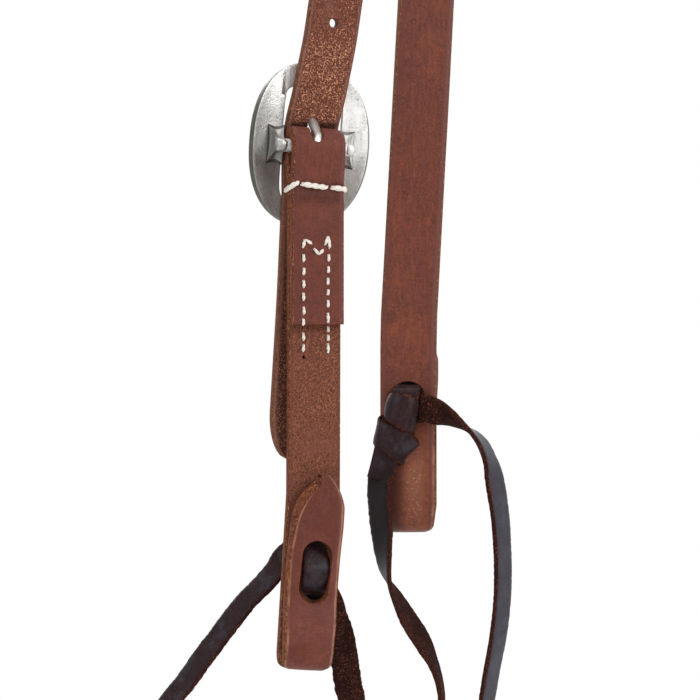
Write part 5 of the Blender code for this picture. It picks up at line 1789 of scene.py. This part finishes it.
@dataclass
class Studio:
    """The camera, the soft lights, the white surroundings and the pale floor."""

    floor_finish: Material
    aim: tuple[float, float, float] = (-23.5, 0.0, -429.5)
    distance: float = 2.5
    azimuth: float = math.radians(-16.0)
    lens: float = 446.4
    floor_level: float = -0.9
    floor_size: float = 16.0
    shade: float = 0.44

    @staticmethod
    def look(thing: Piece, aim: Vector) -> None:
        """Turn a camera or a lamp towards a place."""
        thing.rotation_euler = (aim - thing.location).to_track_quat("-Z", "Y").to_euler()

    def make_camera(self) -> Piece:
        """Set the camera at the photograph's viewing angle."""
        pick()
        aim = Vector(self.aim) * MM
        direction = Vector((math.sin(self.azimuth), -math.cos(self.azimuth), 0.0))
        bpy.ops.object.camera_add(location=aim + direction * self.distance)
        camera = bpy.context.object
        camera.name = "camera"
        self.look(camera, aim)
        camera.data.lens = self.lens
        camera.data.sensor_width = 36.0
        camera.data.clip_start, camera.data.clip_end = 0.05, 60.0
        bpy.context.scene.camera = camera
        return camera

    def make_lamp(self, name: str, place: tuple, size: float, power: float) -> Piece:
        """Add one soft lamp that looks at the headstall."""
        pick()
        bpy.ops.object.light_add(type="AREA", location=place)
        lamp = bpy.context.object
        lamp.name = name
        lamp.data.shape = "DISK"
        lamp.data.size = size
        lamp.data.energy = power
        self.look(lamp, Vector((-0.02, 0.0, -0.40)))
        return lamp

    def make_sky(self, strength: float) -> Piece:
        """Add a wide, weak light from straight above, which keeps the floor pale."""
        pick()
        bpy.ops.object.light_add(type="SUN", location=(0.0, 0.0, 3.0))
        lamp = bpy.context.object
        lamp.name = "sky_lamp"
        lamp.data.energy = strength
        lamp.data.angle = math.radians(50.0)
        return lamp

    def make_world(self) -> None:
        """Light the scene evenly, and show white where a camera or glossy ray meets nothing."""
        world = bpy.data.worlds.new("white_studio")
        world.use_nodes = True
        bench = NodeBench(world.node_tree)
        ray = bench.add("LightPath", {})
        seen = bench.math("MAXIMUM", ray[View.CAMERA.value], ray[View.GLOSSY.value])
        seen = bench.math("MAXIMUM", seen, ray[View.TRANSMISSION.value])
        bench.fill(world.node_tree.nodes["Background"], {
            "Color": (1.0, 1.0, 1.0, 1.0), "Strength": bench.ramp(seen, 0.0, 1.0, self.shade, 1.0),
        })
        bpy.context.scene.world = world

    def make_floor(self) -> Piece:
        """Lay the floor, far enough under the headstall to keep only a soft shadow."""
        pick()
        bpy.ops.mesh.primitive_plane_add(size=self.floor_size,
                                         location=(0.0, 0.0, self.floor_level))
        floor = bpy.context.object
        bpy.ops.object.transform_apply(location=True, rotation=True, scale=True)
        floor.name = "studio_floor"
        floor.data.materials.append(self.floor_finish)
        return floor

    def make(self) -> None:
        """Set up the whole studio."""
        self.make_camera()
        self.make_lamp("key_lamp", (1.3, -1.9, 0.7), 1.0, 29.0)
        self.make_lamp("fill_lamp", (-1.7, -1.5, 0.3), 1.4, 6.0)
        self.make_lamp("back_lamp", (-0.4, 2.1, 0.8), 1.4, 18.0)
        self.make_sky(1.0)
        self.make_world()
        self.make_floor()
        bpy.context.scene.view_settings.view_transform = "Standard"


def report(label: str, pieces: Sequence[Piece]) -> None:
    """Log what a sub-assembly is made of."""
    for piece in pieces:
        LOG.info("%s: %s, %d faces", label, piece.name, len(piece.data.polygons))


def main() -> None:
    """Build the headstall and its studio, piece by piece."""
    logging.basicConfig(level=logging.INFO, format="%(name)s %(message)s")
    shop = Workshop()
    Studio(shop.floor).make()
    lace = shop.lace
    ends = (
        FreeEnd("off_left_tail", "strap", lace, OFF_LEFT_PLACES, (-0.0312, -0.0549, -0.4639)),
        FreeEnd("off_right_tail", "strap", lace, OFF_RIGHT_PLACES, (-0.0194, -0.0580, -0.4456)),
        FreeEnd("near_fore_tail", "cheek", lace, NEAR_FORE_PLACES, (-0.0139, 0.0576, -0.5075),
                2.4 * MM),
        FreeEnd("near_rear_tail", "cheek", lace, NEAR_REAR_PLACES, (-0.0253, 0.0568, -0.4886)),
    )
    report("free ends", [end.make() for end in ends])
    report("long strap", [CrownStrap(shop.crown).make()])
    report("cheek piece", [CheekPiece(shop.cheek).make()])
    report("buckle", CartBuckle(shop.steel, shop.wire_steel, shop.rim_steel).make())
    report("stitching", TurnBackStitching(shop.thread).make())
    ties = (LaceTie("off_tie_knot", OFF_END, "strap", lace, -1.0),
            LaceTie("near_tie_knot", NEAR_END, "cheek", lace, 2.4))
    report("ties", [tie.make() for tie in ties])
    report("ear loop", EarLoop(shop.ear, shop.thread).make())


if __name__ == "__main__":
    main()
